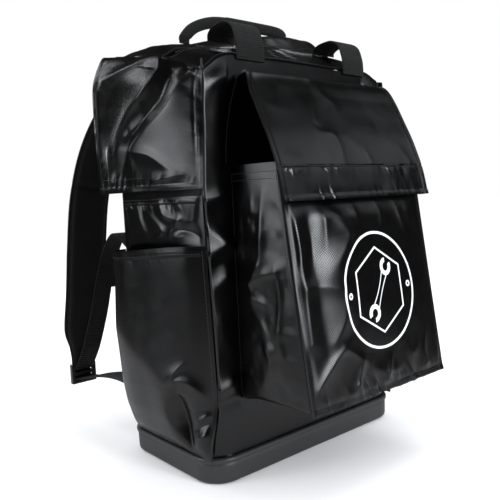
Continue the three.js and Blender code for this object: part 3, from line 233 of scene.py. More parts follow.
GUSSET_FOLDS = [
    ([(0.012, 0.779), (0.051, 0.682), (0.1, 0.621), (0.133, 0.56), (0.169, 0.36)],
     (3, 4.6, 4.6, 4, 2.5), (9, 11), 1.5),
    ([(0.17, 0.31), (0.156, 0.571), (0.15, 0.782)], (2, 3.2, 2.4), (12, 6), 1.0),
    ([(0.172, 0.308), (0.189, 0.329), (0.196, 0.546)], (2, 2.4, 1), (8, 4), 1.0),
    ([(0.172, 0.277), (0.182, 0.302)], (-3, -3), (4, 4), 1.2),
    ([(0.198, 0.302), (0.235, 0.518), (0.289, 0.553), (0.33, 0.283)], (1.5, 3.4, 3, 1), (9, 11), 3),
    ([(0.151, 0.787), (0.19, 0.788), (0.24, 0.722), (0.267, 0.757)], (2, 2.6, 2.6, 1.4), (5, 7), 1.3),
    ([(0.051, 0.232), (0.109, 0.254), (0.152, 0.21)], (-1, -2.2, -1), (7, 7), 3),
    ([(0.023, 0.538), (0.065, 0.468)], (0.8, 1.2), (4, 4), 1.2),
    ([(0.257, 0.498), (0.269, 0.572)], (1, 1.2), (4, 4), 1),
]
BODY_FOLDS = [
    ([(-0.00481, 0.328), (0.0504, 0.321), (0.108, 0.308)], (1.5, 2.8, 1.5), (7, 6), 1.0),
    ([(-0.00704, 0.393), (0.0541, 0.422), (0.123, 0.449)], (1, 2.2, 1.2), (7, 7), 1.5),
    ([(-0.00852, 0.455), (0.0526, 0.438), (0.119, 0.434)], (1.4, 3, 1.4), (7, 8), 1.2),
    ([(0.0107, 0.532), (0.0641, 0.51), (0.114, 0.488)], (1, 2.2, 1), (7, 7), 1.3),
    ([(0.0189, 0.772), (0.0626, 0.765), (0.107, 0.764)], (1.6, 3.2, 1.2), (6, 7), 1.2),
    ([(0.0111, 0.804), (0.0641, 0.799), (0.133, 0.805)], (1.6, 3, 1.2), (6, 7), 1.2),
    ([(0.0126, 0.557), (0.0378, 0.63), (0.0741, 0.697)], (0.6, 1.6, 0.6), (8, 8), 2),
    ([(0.0207, 0.0802), (0.0541, 0.0609), (0.129, 0.0479), (0.227, 0.033)],
     (1.2, 2.8, 2.4, 1), (9, 9), 3),
    ([(0.423, 0.00442), (0.438, 0.0256)], (1.2, 1.0), (5, 5), 1.0),
    ([(-0.00815, 0.362), (0.0422, 0.357), (0.107, 0.364)], (-1, -2, -1), (6, 6), 2),
    ([(-0.00704, 0.482), (0.0485, 0.477), (0.107, 0.467)], (-1, -2, -1), (6, 6), 2),
]


def smooth(t):
    """Eases from 0 to 1 as t goes from 0 to 1."""
    s = np.clip(t, 0, 1)
    return s * s * (3 - 2 * s)


def lerp(a, b, t):
    """Straight blend: a at t = 0, b at t = 1."""
    return a + (b - a) * t


def unit(a):
    """Vectors divided by their lengths."""
    return a / np.maximum(np.linalg.norm(a, axis=-1, keepdims=True), 1e-12)


def shares(columns, rows):
    """Shares from 0 to 1 across and down a sheet."""
    return np.meshgrid(np.linspace(0, 1, columns), np.linspace(0, 1, rows))


def travelled(line):
    """Distance gone along a line at each of its points."""
    return np.concatenate([[0], np.cumsum(np.linalg.norm(np.diff(line, axis=0), axis=1))])


def sample(at, gone, data):
    """Rows of data read at distances along a line."""
    return np.stack([np.interp(at, gone, data[:, k]) for k in range(3)], -1)


def walk(values, share):
    """Catmull-Rom curve through a list of values, read at a share of its length in rows."""
    v = np.asarray(values, float)
    place = np.clip(share, 0, 1) * (len(v) - 1)
    i = np.minimum(place.astype(int), len(v) - 2)
    t = place - i
    a, b, c, d = (v[np.clip(i + k, 0, len(v) - 1)] for k in (-1, 0, 1, 2))
    return b + 0.5 * t * (c - a + t * (2 * a - 5 * b + 4 * c - d + t * (3 * (b - c) + d - a)))


def read(table, key, at, column):
    """Smooth curve through a column's values, read where the key column reaches a value. Its
    slope at a row is a weighted harmonic mean of the slopes beside it, or 0 at a turning point,
    so the curve never goes past the values it joins."""
    keys, values = np.array(table[key], float), np.array(table[column], float)
    step = np.diff(keys)
    rise = np.diff(values) / step
    before, after = rise[:-1], rise[1:]
    a, b = step[:-1] + 2 * step[1:], 2 * step[:-1] + step[1:]
    same = before * after > 0
    mean = (a + b) / (a / np.where(same, before, 1) + b / np.where(same, after, 1))
    slope = np.concatenate([rise[:1], np.where(same, mean, 0), rise[-1:]])
    at = np.clip(at, keys[0], keys[-1])
    i = np.clip(np.searchsorted(keys, at, "right") - 1, 0, len(step) - 1)
    s = (at - keys[i]) / step[i]
    ends = (1 + 2 * s) * (1 - s) ** 2 * values[i] + s * s * (3 - 2 * s) * values[i + 1]
    return ends + s * (1 - s) * step[i] * ((1 - s) * slope[i] - s * slope[i + 1])


def ripple(x, y, size, seed):
    """Smooth random waves: seeded heights on a square lattice, blended across each square."""
    heights = np.random.default_rng(seed).uniform(-1, 1, (97, 97))
    i, j = np.floor(x / size).astype(int), np.floor(y / size).astype(int)
    a, b = smooth(x / size - i), smooth(y / size - j)
    i, j, i1, j1 = i % 97, j % 97, (i + 1) % 97, (j + 1) % 97
    low = lerp(heights[i, j], heights[i1, j], a)
    return lerp(low, lerp(heights[i, j1], heights[i1, j1], a), b)


def folds(table, u, v, width, height):
    """Height of a set of folds on a sheet. Each follows a smooth line through its points. Across
    the line the height falls as exp(-(√(d² + c²) - c) / w): a rounded crest of radius c between
    flanks that are w wide, each side with its own."""
    rise = np.zeros(np.broadcast(u, v).shape)
    x, y = u * width, v * height
    for points, heights, widths, crest in table:
        share = np.linspace(0, 1, 5 * (len(points) - 1) + 1)
        line = np.stack([walk([p[k] for p in points], share) for k in (0, 1)], -1)
        line = line * (width, height)
        start, step = line[:-1], np.diff(line, axis=0)
        dx, dy = x[..., None] - start[:, 0], y[..., None] - start[:, 1]
        t = np.clip((dx * step[:, 0] + dy * step[:, 1]) / (step**2).sum(-1), 0, 1)
        dx, dy = dx - t * step[:, 0], dy - t * step[:, 1]
        away = dx * dx + dy * dy
        nearest = away.argmin(-1)[..., None]
        along = (nearest + np.take_along_axis(t, nearest, -1))[..., 0] / len(step)
        cross = (step[:, 0] * dy - step[:, 1] * dx) / np.sqrt((step**2).sum(-1))
        cross = np.take_along_axis(cross, nearest, -1)[..., 0]
        away = np.take_along_axis(away, nearest, -1)[..., 0]
        wide = lerp(widths[1], widths[0], 0.5 + 0.5 * np.tanh(cross / 2.5))
        rise = rise + walk(heights, along) * np.exp(-(np.sqrt(away + crest**2) - crest) / wide)
    return rise


def pucker(along, away, spacing, depth, seed):
    """Gathers beside a seam: sharp little ridges that run away from it, of random strength and
    slightly askew, and die out over a given depth."""
    place = along + 0.35 * away
    wave = ripple(place, 0.12 * away, spacing, seed)
    wave = wave + 0.5 * ripple(place, 0.2 * away, spacing / 2, seed + 1)
    patch = 0.55 + 0.45 * ripple(along, 0 * along, 4 * spacing, seed + 2)
    return patch * (1 - 1.6 * np.abs(wave)) * np.exp(-((away / depth) ** 2))


def edge_fade(u, v, margin=0.06):
    """0 at a sheet's edges and 1 a little way in."""
    return smooth(np.minimum(np.minimum(u, 1 - u), np.minimum(v, 1 - v)) / margin)


def hem(away, width, rise):
    """A folded edge: a band raised above the cloth, with a groove where its stitches pull in."""
    band = smooth((width - away) / 1.2 + 0.5)
    groove = np.exp(-(((away - width * 0.8) / 0.8) ** 2))
    return rise * band - 0.45 * rise * groove


# Meshes


def object_from(name, points, faces, material, nodes=(), uv=None, sharp=48):
    """Makes a mesh object from points in mm and arrays of faces, and hangs it on the frame."""
    mesh = bpy.data.meshes.new(name)
    points = np.asarray(points, np.float32).reshape(-1, 3) * MM
    mesh.vertices.add(len(points))
    mesh.vertices.foreach_set("co", points.ravel())
    faces = [np.atleast_2d(f) for f in faces if len(f)]
    corners = np.concatenate([f.ravel() for f in faces]).astype(np.int32)
    sizes = np.concatenate([np.full(len(f), f.shape[1]) for f in faces])
    starts = np.concatenate([[0], np.cumsum(sizes)[:-1]])
    mesh.loops.add(len(corners))
    mesh.loops.foreach_set("vertex_index", corners)
    mesh.polygons.add(len(sizes))
    mesh.polygons.foreach_set("loop_start", starts.astype(np.int32))
    mesh.polygons.foreach_set("loop_total", sizes.astype(np.int32))
    mesh.update(calc_edges=True)
    if uv is not None:
        layer = mesh.uv_layers.new(name="cloth")
        layer.data.foreach_set("uv", np.asarray(uv, np.float32).reshape(-1, 2)[corners].ravel())
    mesh.polygons.foreach_set("use_smooth", np.ones(len(sizes), bool))
    if sharp:
        mesh.set_sharp_from_angle(angle=math.radians(sharp))
    mesh.validate()
    made = bpy.data.objects.new(name, mesh)
    bpy.context.scene.collection.objects.link(made)
    mesh.materials.append(material)
    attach(made, "root")
    if nodes:
        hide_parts(*nodes)
    return made


def quads_of(index):
    """Faces of a grid of vertex numbers."""
    cells = [index[:-1, :-1], index[:-1, 1:], index[1:, 1:], index[1:, :-1]]
    return np.stack(cells, -1).reshape(-1, 4)


def around(index):
    """The vertex numbers round the edge of a grid."""
    return np.concatenate([index[0, :-1], index[:-1, -1], index[-1, :0:-1], index[:0:-1, 0]])


def lengths(grid):
    """Distance across and down a sheet, in metres, measured along its middle row and column."""
    row, column = grid[len(grid) // 2], grid[:, grid.shape[1] // 2]
    return np.stack(np.meshgrid(travelled(row), travelled(column)), -1) * MM


def facing(grid, toward):
    """Unit normals of a grid: the cross product of its two directions, turned outwards."""
    normal = unit(np.cross(np.gradient(grid, axis=1), np.gradient(grid, axis=0)))
    turned = float((normal @ np.asarray(toward, float)).sum()) < 0
    return (-normal if turned else normal), turned


class Sheet:
    """A closed wall of cloth. Its outer face is a grid of points, and its inner face lies a
    thickness behind it along the normals; four strips close its edges."""

    def __init__(self, grid, toward):
        """Takes the outer face and a direction that its normals turn to."""
        self.grid = grid
        self.normal, self.turned = facing(grid, toward)
        self.inner = grid - self.normal * CLOTH

    def make(self, name, material, nodes=()):
        """The inner face keeps every second row and column, so five-sided faces close the rim.
        The grid has odd numbers of rows and columns."""
        inner = self.inner[::2, ::2]
        index = np.arange(self.grid[..., 0].size).reshape(self.grid.shape[:2])
        under = index.size + np.arange(inner[..., 0].size).reshape(inner.shape[:2])
        edge, below = around(index), around(under)
        rim = [np.roll(edge, -2)[::2], edge[1::2], edge[::2], below, np.roll(below, -1)]
        faces = [quads_of(index), quads_of(under)[:, ::-1], np.stack(rim, -1)]
        if self.turned:
            faces = [part[:, ::-1] for part in faces]
        uv = lengths(self.grid)
        uv = np.concatenate([uv.reshape(-1, 2), uv[::2, ::2].reshape(-1, 2)])
        points = np.concatenate([self.grid.reshape(-1, 3), inner.reshape(-1, 3)])
        return object_from(name, points, faces, material, nodes, uv)

    def trace(self, u, v, lift=0.15):
        """Points and normals on the outer face, at shares across and down."""
        rows, columns = self.grid.shape[:2]
        x, y = np.asarray(u) * (columns - 1), np.asarray(v) * (rows - 1)
        i = np.minimum(x.astype(int), columns - 2)
        j = np.minimum(y.astype(int), rows - 2)
        a, b = (x - i)[:, None], (y - j)[:, None]
        found = []
        for data in (self.grid, self.normal):
            upper = lerp(data[j, i], data[j, i + 1], a)
            found.append(lerp(upper, lerp(data[j + 1, i], data[j + 1, i + 1], a), b))
        return found[0] + lift * unit(found[1]), unit(found[1])

    def seam(self, across, down, step=STITCH_STEP, length=STITCH_LENGTH):
        """A row of stitches along shares across and down."""
        return (*self.trace(*np.broadcast_arrays(across, down)), step, length)


def rings_object(name, rings, material, nodes=(), sharp=48, uv=None):
    """Joins rings of points into a closed tube with flat ends. rings is a grid whose rows are
    the rings; the faces are turned so that the volume inside is positive."""
    count, girth = rings.shape[:2]
    index = np.arange(count * girth).reshape(count, girth)
    wrapped = np.concatenate([index, index[:, :1]], axis=1)
    faces = quads_of(wrapped)
    ends = [index[0][None, ::-1], index[-1][None, :]]
    a, b, c = (rings.reshape(-1, 3)[faces[:, k]] for k in (0, 1, 2))
    d = rings.reshape(-1, 3)[faces[:, 3]]
    volume = (a * np.cross(b, c)).sum() + (a * np.cross(c, d)).sum()
    for end in ends:
        p = rings.reshape(-1, 3)[end[0]]
        volume += (p[0] * np.cross(p[1:-1], p[2:])).sum()
    if volume < 0:
        faces, ends = faces[:, ::-1], [e[:, ::-1] for e in ends]
    if uv is None:
        turn, along = travelled(rings[count // 2]), travelled(rings.mean(axis=1))
        uv = np.stack(np.meshgrid(turn, along), -1) * MM
    return object_from(name, rings, [faces, *ends], material, nodes, uv, sharp)


def sweep(places, wide, thick, profile):
    """Carries a profile along a path: each ring is the place plus the profile's two columns
    times the half width and half thickness there."""
    a, b = profile[..., 0], profile[..., 1]
    return places[:, None] + wide[:, None] * a[..., None] + thick[:, None] * b[..., None]


def rounded_section(count, corner):
    """A rectangle from -1 to 1 with rounded corners: |x|^n + |y|^n = 1, n set by the corner."""
    t = np.linspace(0, 2 * math.pi, count, endpoint=False) + math.pi / count
    c, s = np.cos(t), np.sin(t)
    r = (np.abs(c) ** corner + np.abs(s) ** corner) ** (-1 / corner)
    return np.stack([c * r, s * r], -1)


def flat_section(count, edge):
    """Outline of webbing: flat faces, with rounded edges over the last share of its width."""
    a = np.sin(np.linspace(-0.5, 0.5, count) * math.pi)
    b = np.sqrt(np.clip(1 - (np.maximum(np.abs(a) - (1 - edge), 0) / edge) ** 2, 0, 1))
    upper = np.stack([a, b], -1)
    lower = np.stack([a[::-1], -b[::-1]], -1)
    return np.concatenate([upper, lower[1:-1]])


def stitched(name, rows, radius=0.32):
    """Stitches along lines: a short thread, pointed at both ends, at each step of a line.
    rows holds (points, normals, step, length)."""
    turn = np.linspace(0, 2 * math.pi, 6, endpoint=False)
    along = np.array([-0.5, -0.3, 0.3, 0.5])
    fat = np.array([0.25, 1, 1, 0.25]) * radius
    sideways, upward = fat[:, None] * np.cos(turn), fat[:, None] * np.sin(turn)
    ring = np.arange(24).reshape(4, 6)
    cell = quads_of(np.concatenate([ring, ring[:, :1]], axis=1))
    points, faces, ends = [], [], []
    base = 0
    for line, normals, step, length in rows:
        gone = travelled(line)
        at = np.arange(step / 2, gone[-1] - step / 2, step)
        if not len(at):
            continue
        tangent = unit(sample(at + 0.5, gone, line) - sample(at - 0.5, gone, line))
        side = unit(np.cross(tangent, sample(at, gone, normals)))
        up = np.cross(side, tangent)
        spot = (
            sample(at, gone, line)[:, None, None]
            + tangent[:, None, None] * (along * length)[None, :, None, None]
            + side[:, None, None] * sideways[None, :, :, None]
            + up[:, None, None] * upward[None, :, :, None]
        )
        points.append(spot.reshape(-1, 3))
        shift = base + 24 * np.arange(len(at))[:, None, None]
        faces.append((cell[None] + shift).reshape(-1, 4))
        ends.append((np.stack([ring[0][::-1], ring[3]])[None] + shift).reshape(-1, 6))
        base += 24 * len(at)
    points, faces, ends = (np.concatenate(part) for part in (points, faces, ends))
    a, b, c = (points[faces[:30, k]] for k in (0, 1, 2))
    if ((a - points[:24].mean(0)) * np.cross(b - a, c - a)).sum() < 0:
        faces, ends = faces[:, ::-1], ends[:, ::-1]
    return object_from(name, points, [faces, ends], THREAD, sharp=0)


# Finishes


def set_inputs(tree, node, inputs):
    """Gives each named input of a node its value, or links it to another node's output."""
    for key, value in inputs.items():
        if isinstance(value, bpy.types.NodeSocket):
            tree.links.new(value, node.inputs[key])
        else:
            node.inputs[key].default_value = value


def add_node(tree, kind, inputs, operation=None):
    """Adds a node of a kind to a tree, with its inputs and what it works out."""
    node = tree.nodes.new("ShaderNode" + kind)
    if operation:
        node.operation = operation
    set_inputs(tree, node, inputs)
    return node


def worked(tree, operation, first, second):
    """One step of arithmetic on two values or outputs."""
    return add_node(tree, "Math", {0: first, 1: second}, operation).outputs[0]


def ramp(tree, value, low, high, ends=(0.3, 0.7)):
    """Turns a value between two ends into one between low and high."""
    inputs = {"Value": value, "From Min": ends[0], "From Max": ends[1], "To Min": low, "To Max": high}
    return add_node(tree, "MapRange", inputs).outputs["Result"]


def tint(tree, value, dark, light):
    """A blend of two colours."""
    node = tree.nodes.new("ShaderNodeMix")
    node.data_type = "RGBA"
    set_inputs(tree, node, {"Factor": value, "A": (*dark, 1), "B": (*light, 1)})
    return node.outputs["Result"]


class Finish:
    """A Principled material. Colour, roughness and relief are driven by noise at a place on the
    object, or by sine waves along the cloth."""

    def __init__(self, name, **inputs):
        """Starts a material with some inputs of its surface set, a space written as _."""
        self.made = bpy.data.materials.new(name)
        self.made.use_nodes = True
        self.tree = self.made.node_tree
        self.relief = {}
        self.set({key.replace("_", " "): value for key, value in inputs.items()})

    def set(self, inputs):
        """Sets inputs of the surface itself."""
        set_inputs(self.tree, self.tree.nodes["Principled BSDF"], inputs)

    def noise(self, scale, detail, rough=0.5):
        """Noise with a given number of bumps to the metre."""
        place = add_node(self.tree, "TexCoord", {}).outputs["Object"]
        inputs = {"Vector": place, "Scale": scale, "Detail": detail, "Roughness": rough}
        return add_node(self.tree, "TexNoise", inputs).outputs["Fac"]

    def wave(self, axis, pitch):
        """A sine wave across (X) or down (Y) the cloth, with a pitch in millimetres."""
        place = self.tree.nodes.new("ShaderNodeUVMap")
        place.uv_map = "cloth"
        split = add_node(self.tree, "SeparateXYZ", {0: place.outputs["UV"]})
        distance = worked(self.tree, "MULTIPLY", split.outputs[axis], 1000.0)
        turn = worked(self.tree, "MULTIPLY", distance, 2 * math.pi / pitch)
        return add_node(self.tree, "Math", {0: turn}, "SINE").outputs[0]

    def weave(self, pitch):
        """The yarns of a plain weave: the product of a wave across and a wave down."""
        return worked(self.tree, "MULTIPLY", self.wave("X", pitch), self.wave("Y", pitch))

    def look(self, noise, dark, light, low, high, gloss_noise=None):
        """Colour between dark and light, and roughness between low and high."""
        self.set({"Base Color": tint(self.tree, noise, dark, light)})
        self.set({"Roughness": ramp(self.tree, gloss_noise or noise, low, high)})

    def bump(self, height, strength, distance):
        """Relief on top of any relief given before it."""
        inputs = {"Height": height, "Strength": strength, "Distance": distance, **self.relief}
        self.relief = {"Normal": add_node(self.tree, "Bump", inputs).outputs["Normal"]}
        self.set(self.relief)


def coated_cloth():
    """Glossy coating over a plain weave that shows through faintly, with slow changes of gloss."""
    made = Finish("coated_cloth", IOR=1.5, Specular_IOR_Level=0.5)
    dark, light = (0.0007, 0.0007, 0.0008), (0.0015, 0.0015, 0.0017)
    made.look(made.noise(14.0, 3.0), dark, light, 0.18, 0.27, made.noise(60.0, 3.0))
    made.bump(made.weave(2.6), 0.5, 0.00011)
    return made.made


def ribbed_webbing(name, rib, dark, light):
    """Woven webbing: cross ribs from a sine along its length, and fine warp lines across it."""
    made = Finish(name, Sheen_Weight=0.03, Specular_IOR_Level=0.3, Sheen_Roughness=0.5)
    warp = worked(made.tree, "MULTIPLY", made.wave("X", 1.1), 0.5)
    fuzz = made.noise(160.0, 3.0)
    made.look(fuzz, dark, light, 0.62, 0.82)
    made.bump(fuzz, 0.2, 0.0004)
    made.bump(worked(made.tree, "ADD", made.wave("Y", rib), warp), 0.7, 0.0003)
    return made.made


def pad_cloth():
    """Matte nylon over foam: a fine plain weave, with the fullness of the padding as noise."""
    made = Finish("pad_cloth", Sheen_Weight=0.03, Specular_IOR_Level=0.25)
    fuzz = made.noise(60.0, 4.0)
    made.look(fuzz, (0.0026, 0.0026, 0.0028), (0.005, 0.005, 0.0054), 0.6, 0.8)
    made.bump(fuzz, 0.3, 0.001)
    made.bump(made.weave(1.4), 0.4, 0.0002)
    return made.made


def moulded_plastic(name, dark, light, rough, grain):
    """Satin moulded plastic: a fine spark-eroded grain and slow changes of gloss."""
    made = Finish(name)
    made.look(made.noise(9.0, 2.0), dark, light, rough - 0.05, rough + 0.06)
    made.bump(made.noise(grain, 3.0, 0.7), 0.18, 0.0002)
    return made.made


def plain(name, dark, light, low, high, grain):
    """Thread, binding or print: only fine noise in the colour and the gloss."""
    made = Finish(name)
    made.look(made.noise(*grain), dark, light, low, high)
    return made.made


VINYL = coated_cloth()
WEB = ribbed_webbing("loop_webbing", 2.4, (0.0032, 0.0032, 0.0033), (0.006, 0.006, 0.0062))
STRAP_WEB = ribbed_webbing("strap_webbing", 3.1, (0.0032, 0.0032, 0.0033), (0.0065, 0.0065, 0.0067))
PAD = pad_cloth()
TRAY = moulded_plastic("tray_plastic", (0.02, 0.0205, 0.022), (0.027, 0.0275, 0.029), 0.42, 1400.0)
BUCKLE = moulded_plastic("buckle_plastic", (0.008, 0.008, 0.009), (0.013, 0.013, 0.014), 0.32, 900.0)
TEETH = moulded_plastic("zipper_teeth", (0.006, 0.006, 0.006), (0.012, 0.012, 0.013), 0.35, 900.0)
TWIST, WEAR = (900.0, 1.0), (420.0, 3.0, 0.7)
THREAD = plain("sewing_thread", (0.008, 0.008, 0.009), (0.02, 0.02, 0.022), 0.5, 0.7, TWIST)
BINDING = plain("seam_binding", (0.006, 0.006, 0.0065), (0.01, 0.01, 0.011), 0.5, 0.7, TWIST)
PRINT = plain("white_print", (0.62, 0.63, 0.65), (0.86, 0.87, 0.88), 0.35, 0.5, WEAR)


# The bag


def bag_outline(share):
    """Half widths at the front and back and the corner radii, at a share of the bag's height."""
    z = lerp(BAG_FLOOR, RIM_HEIGHT, share)
    free = smooth((z - TRAY_HEIGHT) / TRAY_BLEND)
    front = FRONT_WIDTH / 2 * read(BAG_SHAPE, "up", share, "front")
    back = BACK_WIDTH / 2 * read(BAG_SHAPE, "up", share, "back")
    return (
        lerp(BAG_TRAY_HALF, front, free),
        lerp(BAG_TRAY_HALF, back, free),
        lerp(BAG_TRAY_RADIUS, SEAM_RADIUS, free),
        lerp(BAG_TRAY_RADIUS, BACK_RADIUS, free),
    )


def rim_height(x, y):
    """The bag's rim climbs towards the back and droops at its side seams."""
    half = FRONT_WIDTH / 2
    droop = smooth((np.abs(x) - half * 0.84) / (half * 0.16))
    back = np.clip((y + BAG_HALF_DEPTH) / (2 * BAG_HALF_DEPTH), -0.1, 1.1)
    near = smooth((np.abs(x) / half - 0.72) / 0.28) * smooth(1 - back * 2.4)
    sink = np.where(x < 0, CORNER_SINK_RIGHT, CORNER_SINK_LEFT) * near
    return RIM_HEIGHT + BACK_RISE * back - CORNER_DROOP * droop - sink


def wall_half(y, z):
    """Distance of the side wall from the middle, straight from front corner to back corner."""
    span = rim_height(FRONT_WIDTH / 2, y) - BAG_FLOOR
    front, back, front_radius, back_radius = bag_outline(np.clip((z - BAG_FLOOR) / span, 0, 1))
    start = front_radius - BAG_HALF_DEPTH
    return lerp(front, back, np.clip((y - start) / (BAG_HALF_DEPTH - back_radius - start), 0, 1))


def back_fall(y, z):
    """How far the round back corner falls away from the straight side wall."""
    radius = bag_outline(np.clip((z - BAG_FLOOR) / (RIM_HEIGHT - BAG_FLOOR), 0, 1))[3]
    past = np.clip(y - BAG_HALF_DEPTH + radius, 0, 0.9 * radius)
    return radius - np.sqrt(radius**2 - past**2)


def outline_ring(front, back, depth, front_radius, back_radius, arc, side):
    """Points round a box with rounded corners, one row for each entry of the half widths."""
    corners = [
        (-front + front_radius, -depth + front_radius, front_radius, 180),
        (front - front_radius, -depth + front_radius, front_radius, 270),
        (back - back_radius, depth - back_radius, back_radius, 0),
        (-back + back_radius, depth - back_radius, back_radius, 90),
    ]
    parts = []
    for k, (x, y, radius, start) in enumerate(corners):
        angle = np.radians(start + 90 * np.linspace(0, 1, arc + 1))
        bend = radius[:, None, None] * np.stack([np.cos(angle), np.sin(angle)], -1)
        edge = np.stack([x, y], -1)[:, None] + bend
        parts.append(edge)
        nx, ny, radius2, start2 = corners[(k + 1) % 4]
        turn = math.radians(start2)
        end = np.stack([nx + radius2 * math.cos(turn), ny + radius2 * math.sin(turn)], -1)
        t = np.concatenate([[0.004], np.linspace(0.02, 0.98, side[k] - 3), [0.996]])[:, None]
        parts.append(edge[:, -1:] * (1 - t) + end[:, None] * t)
    return np.concatenate(parts, axis=1)


def bag_rings(shares, inset, floor):
    """Outlines of the bag at shares of its height, drawn in by an inset, from floor to rim."""
    front, back, fr, br = bag_outline(shares)
    depth = np.full_like(front, BAG_HALF_DEPTH - inset)
    flat = outline_ring(
        front - inset, back - inset, depth, np.maximum(fr - inset, 1), np.maximum(br - inset, 1),
        8, (100, 60, 60, 60),
    )
    top = rim_height(flat[..., 0], flat[..., 1])
    return np.concatenate([flat, lerp(floor, top, shares[:, None])[..., None]], -1)


def bag_body():
    """Outer wall with slack folds pushed out along its normals, then the inner wall back down."""
    shares = np.concatenate([np.linspace(0, 0.12, 20)[:-1], np.linspace(0.12, 1, 100)])
    outer = bag_rings(shares, 0, BAG_FLOOR)
    padded = np.concatenate([outer[:, -1:], outer, outer[:, :1]], axis=1)
    normal = unit(np.cross(np.gradient(padded, axis=1), np.gradient(padded, axis=0)))[:, 1:-1]
    x, y, z = outer[..., 0], outer[..., 1], outer[..., 2]
    along = np.where(np.abs(normal[..., 1]) > 0.7, x, y + 400)
    slack = 1.1 * ripple(along, z * 0.45, 16, 5) + 0.7 * ripple(along * 1.4, z, 13, 6)
    slack += 1.6 * ripple(along, z, 42, 7)
    free = smooth((z - TRAY_HEIGHT - 2) / 30) * smooth((rim_height(x, y) - z) / 14)
    front = smooth((-y - BAG_HALF_DEPTH + 6) / 4)
    behind = (np.abs(x) < POCKET_WIDTH / 2) & (z > POCKET_BOTTOM - 2) & (front > 0.5)
    beside = np.abs(normal[..., 0]) > 0.7
    calm = np.where(behind, 0.0, np.where(beside, 0.12, 1.0))
    back = smooth((y - BAG_HALF_DEPTH + 12) / 6)
    push = (slack - 1.1) * 0.2 * free * calm * (1 - back)
    u, v = 0.5 + x / FRONT_WIDTH, 1 - z / RIM_HEIGHT
    pull = 1.4 * folds(BODY_FOLDS, u, v, FRONT_WIDTH, RIM_HEIGHT)
    pull += folds(BODY_FOLDS, 1 - u, v + 0.02, FRONT_WIDTH, RIM_HEIGHT)
    push = np.minimum(push, 0.2) + pull * front * np.where(behind, 0, 1) * free
    outer = outer + normal * push[..., None]
    inner = bag_rings(np.linspace(1, 0.004, 30), CLOTH, BAG_FLOOR + CLOTH)
    rings = np.concatenate([outer, inner])
    along = np.concatenate([z[:, 0], z[-1, 0] + np.linspace(0, 400, 30)])
    turn = travelled(outer[80])
    uv = np.stack(np.meshgrid(turn, along), -1) * MM
    return rings_object("bag_body_cloth", rings, VINYL, ["bag_body"], uv=uv)


def top_crown(share, y):
    """Height of the zipped top above the rim: a quarter sine up to the zip, an ease up to the
    ridge, and a parabola down to the back, each scaled by its curve from side to side."""
    ridge = RIDGE_CROWN * read(TOP_ACROSS, "share", share, "ridge")
    zip_ = ZIP_CROWN * read(TOP_ACROSS, "share", share, "zip")
    first = zip_ * np.sin(np.clip((y + BAG_HALF_DEPTH) / ZIP_SETBACK, 0, 1) * math.pi / 2)
    second = lerp(zip_, ridge, smooth((y - ZIP_Y) / (RIDGE_Y - ZIP_Y)))
    third = ridge * (1 - ((y - RIDGE_Y) / (BAG_HALF_DEPTH - RIDGE_Y)) ** 2)
    crown = np.where(y < ZIP_Y, first, np.where(y < RIDGE_Y, second, third))
    return crown * (1 - np.abs(share) ** 14)


def top_point(share, y):
    """A point on the top: the rim's height, a gap and the cloth, and the crown."""
    x = share * wall_half(y, RIM_HEIGHT)
    z = rim_height(x, y) + GAP + CLOTH + top_crown(share, y)
    return np.stack([x, y + 0 * x, z], -1)


def corner_draw(share, radius, half):
    """How far a rounded corner draws the top's edge in."""
    over = np.clip((np.abs(share) * half - (half - radius)) / radius, 0, 1)
    return radius * (1 - np.sqrt(1 - over * over * 0.98))


def top_panels():
    """A panel on each side of the zip, rippled a little away from its edges."""
    half = BACK_WIDTH / 2
    sheets = []
    for word, rows, waves in (
        ("front", 49, ((0.9, 1, 26, 11), (0.7, 0.5, 11, 12))),
        ("rear", 73, ((1.2, 1, 30, 13), (0.6, 1, 12, 14))),
    ):
        u, v = shares(181, rows)
        share = np.sin((u - 0.5) * math.pi)
        start = -BAG_HALF_DEPTH + corner_draw(share, SEAM_RADIUS, half)
        end = ZIP_Y - ZIP_WIDTH / 2 - GAP
        if word == "rear":
            start = ZIP_Y + ZIP_WIDTH / 2 + GAP
            end = BAG_HALF_DEPTH - corner_draw(share, BACK_RADIUS, half)
        y = lerp(start, end, v)
        grid = top_point(share, y)
        x = grid[..., 0]
        rise = sum(high * ripple(x, y * slow, size, seed) for high, slow, size, seed in waves)
        grid[..., 2] += edge_fade(u, v, 0.1) * rise
        sheet = Sheet(grid, (0, 0, 1))
        sheet.make(f"top_{word}_cloth", VINYL, [f"top_{word}_panel"])
        sheets.append(sheet)
    front, rear = sheets
    t = np.linspace(0.06, 0.94, 300)
    stitched("top_stitching", [front.seam(t, 0.93), front.seam(t, 0.05), rear.seam(t, 0.05)])


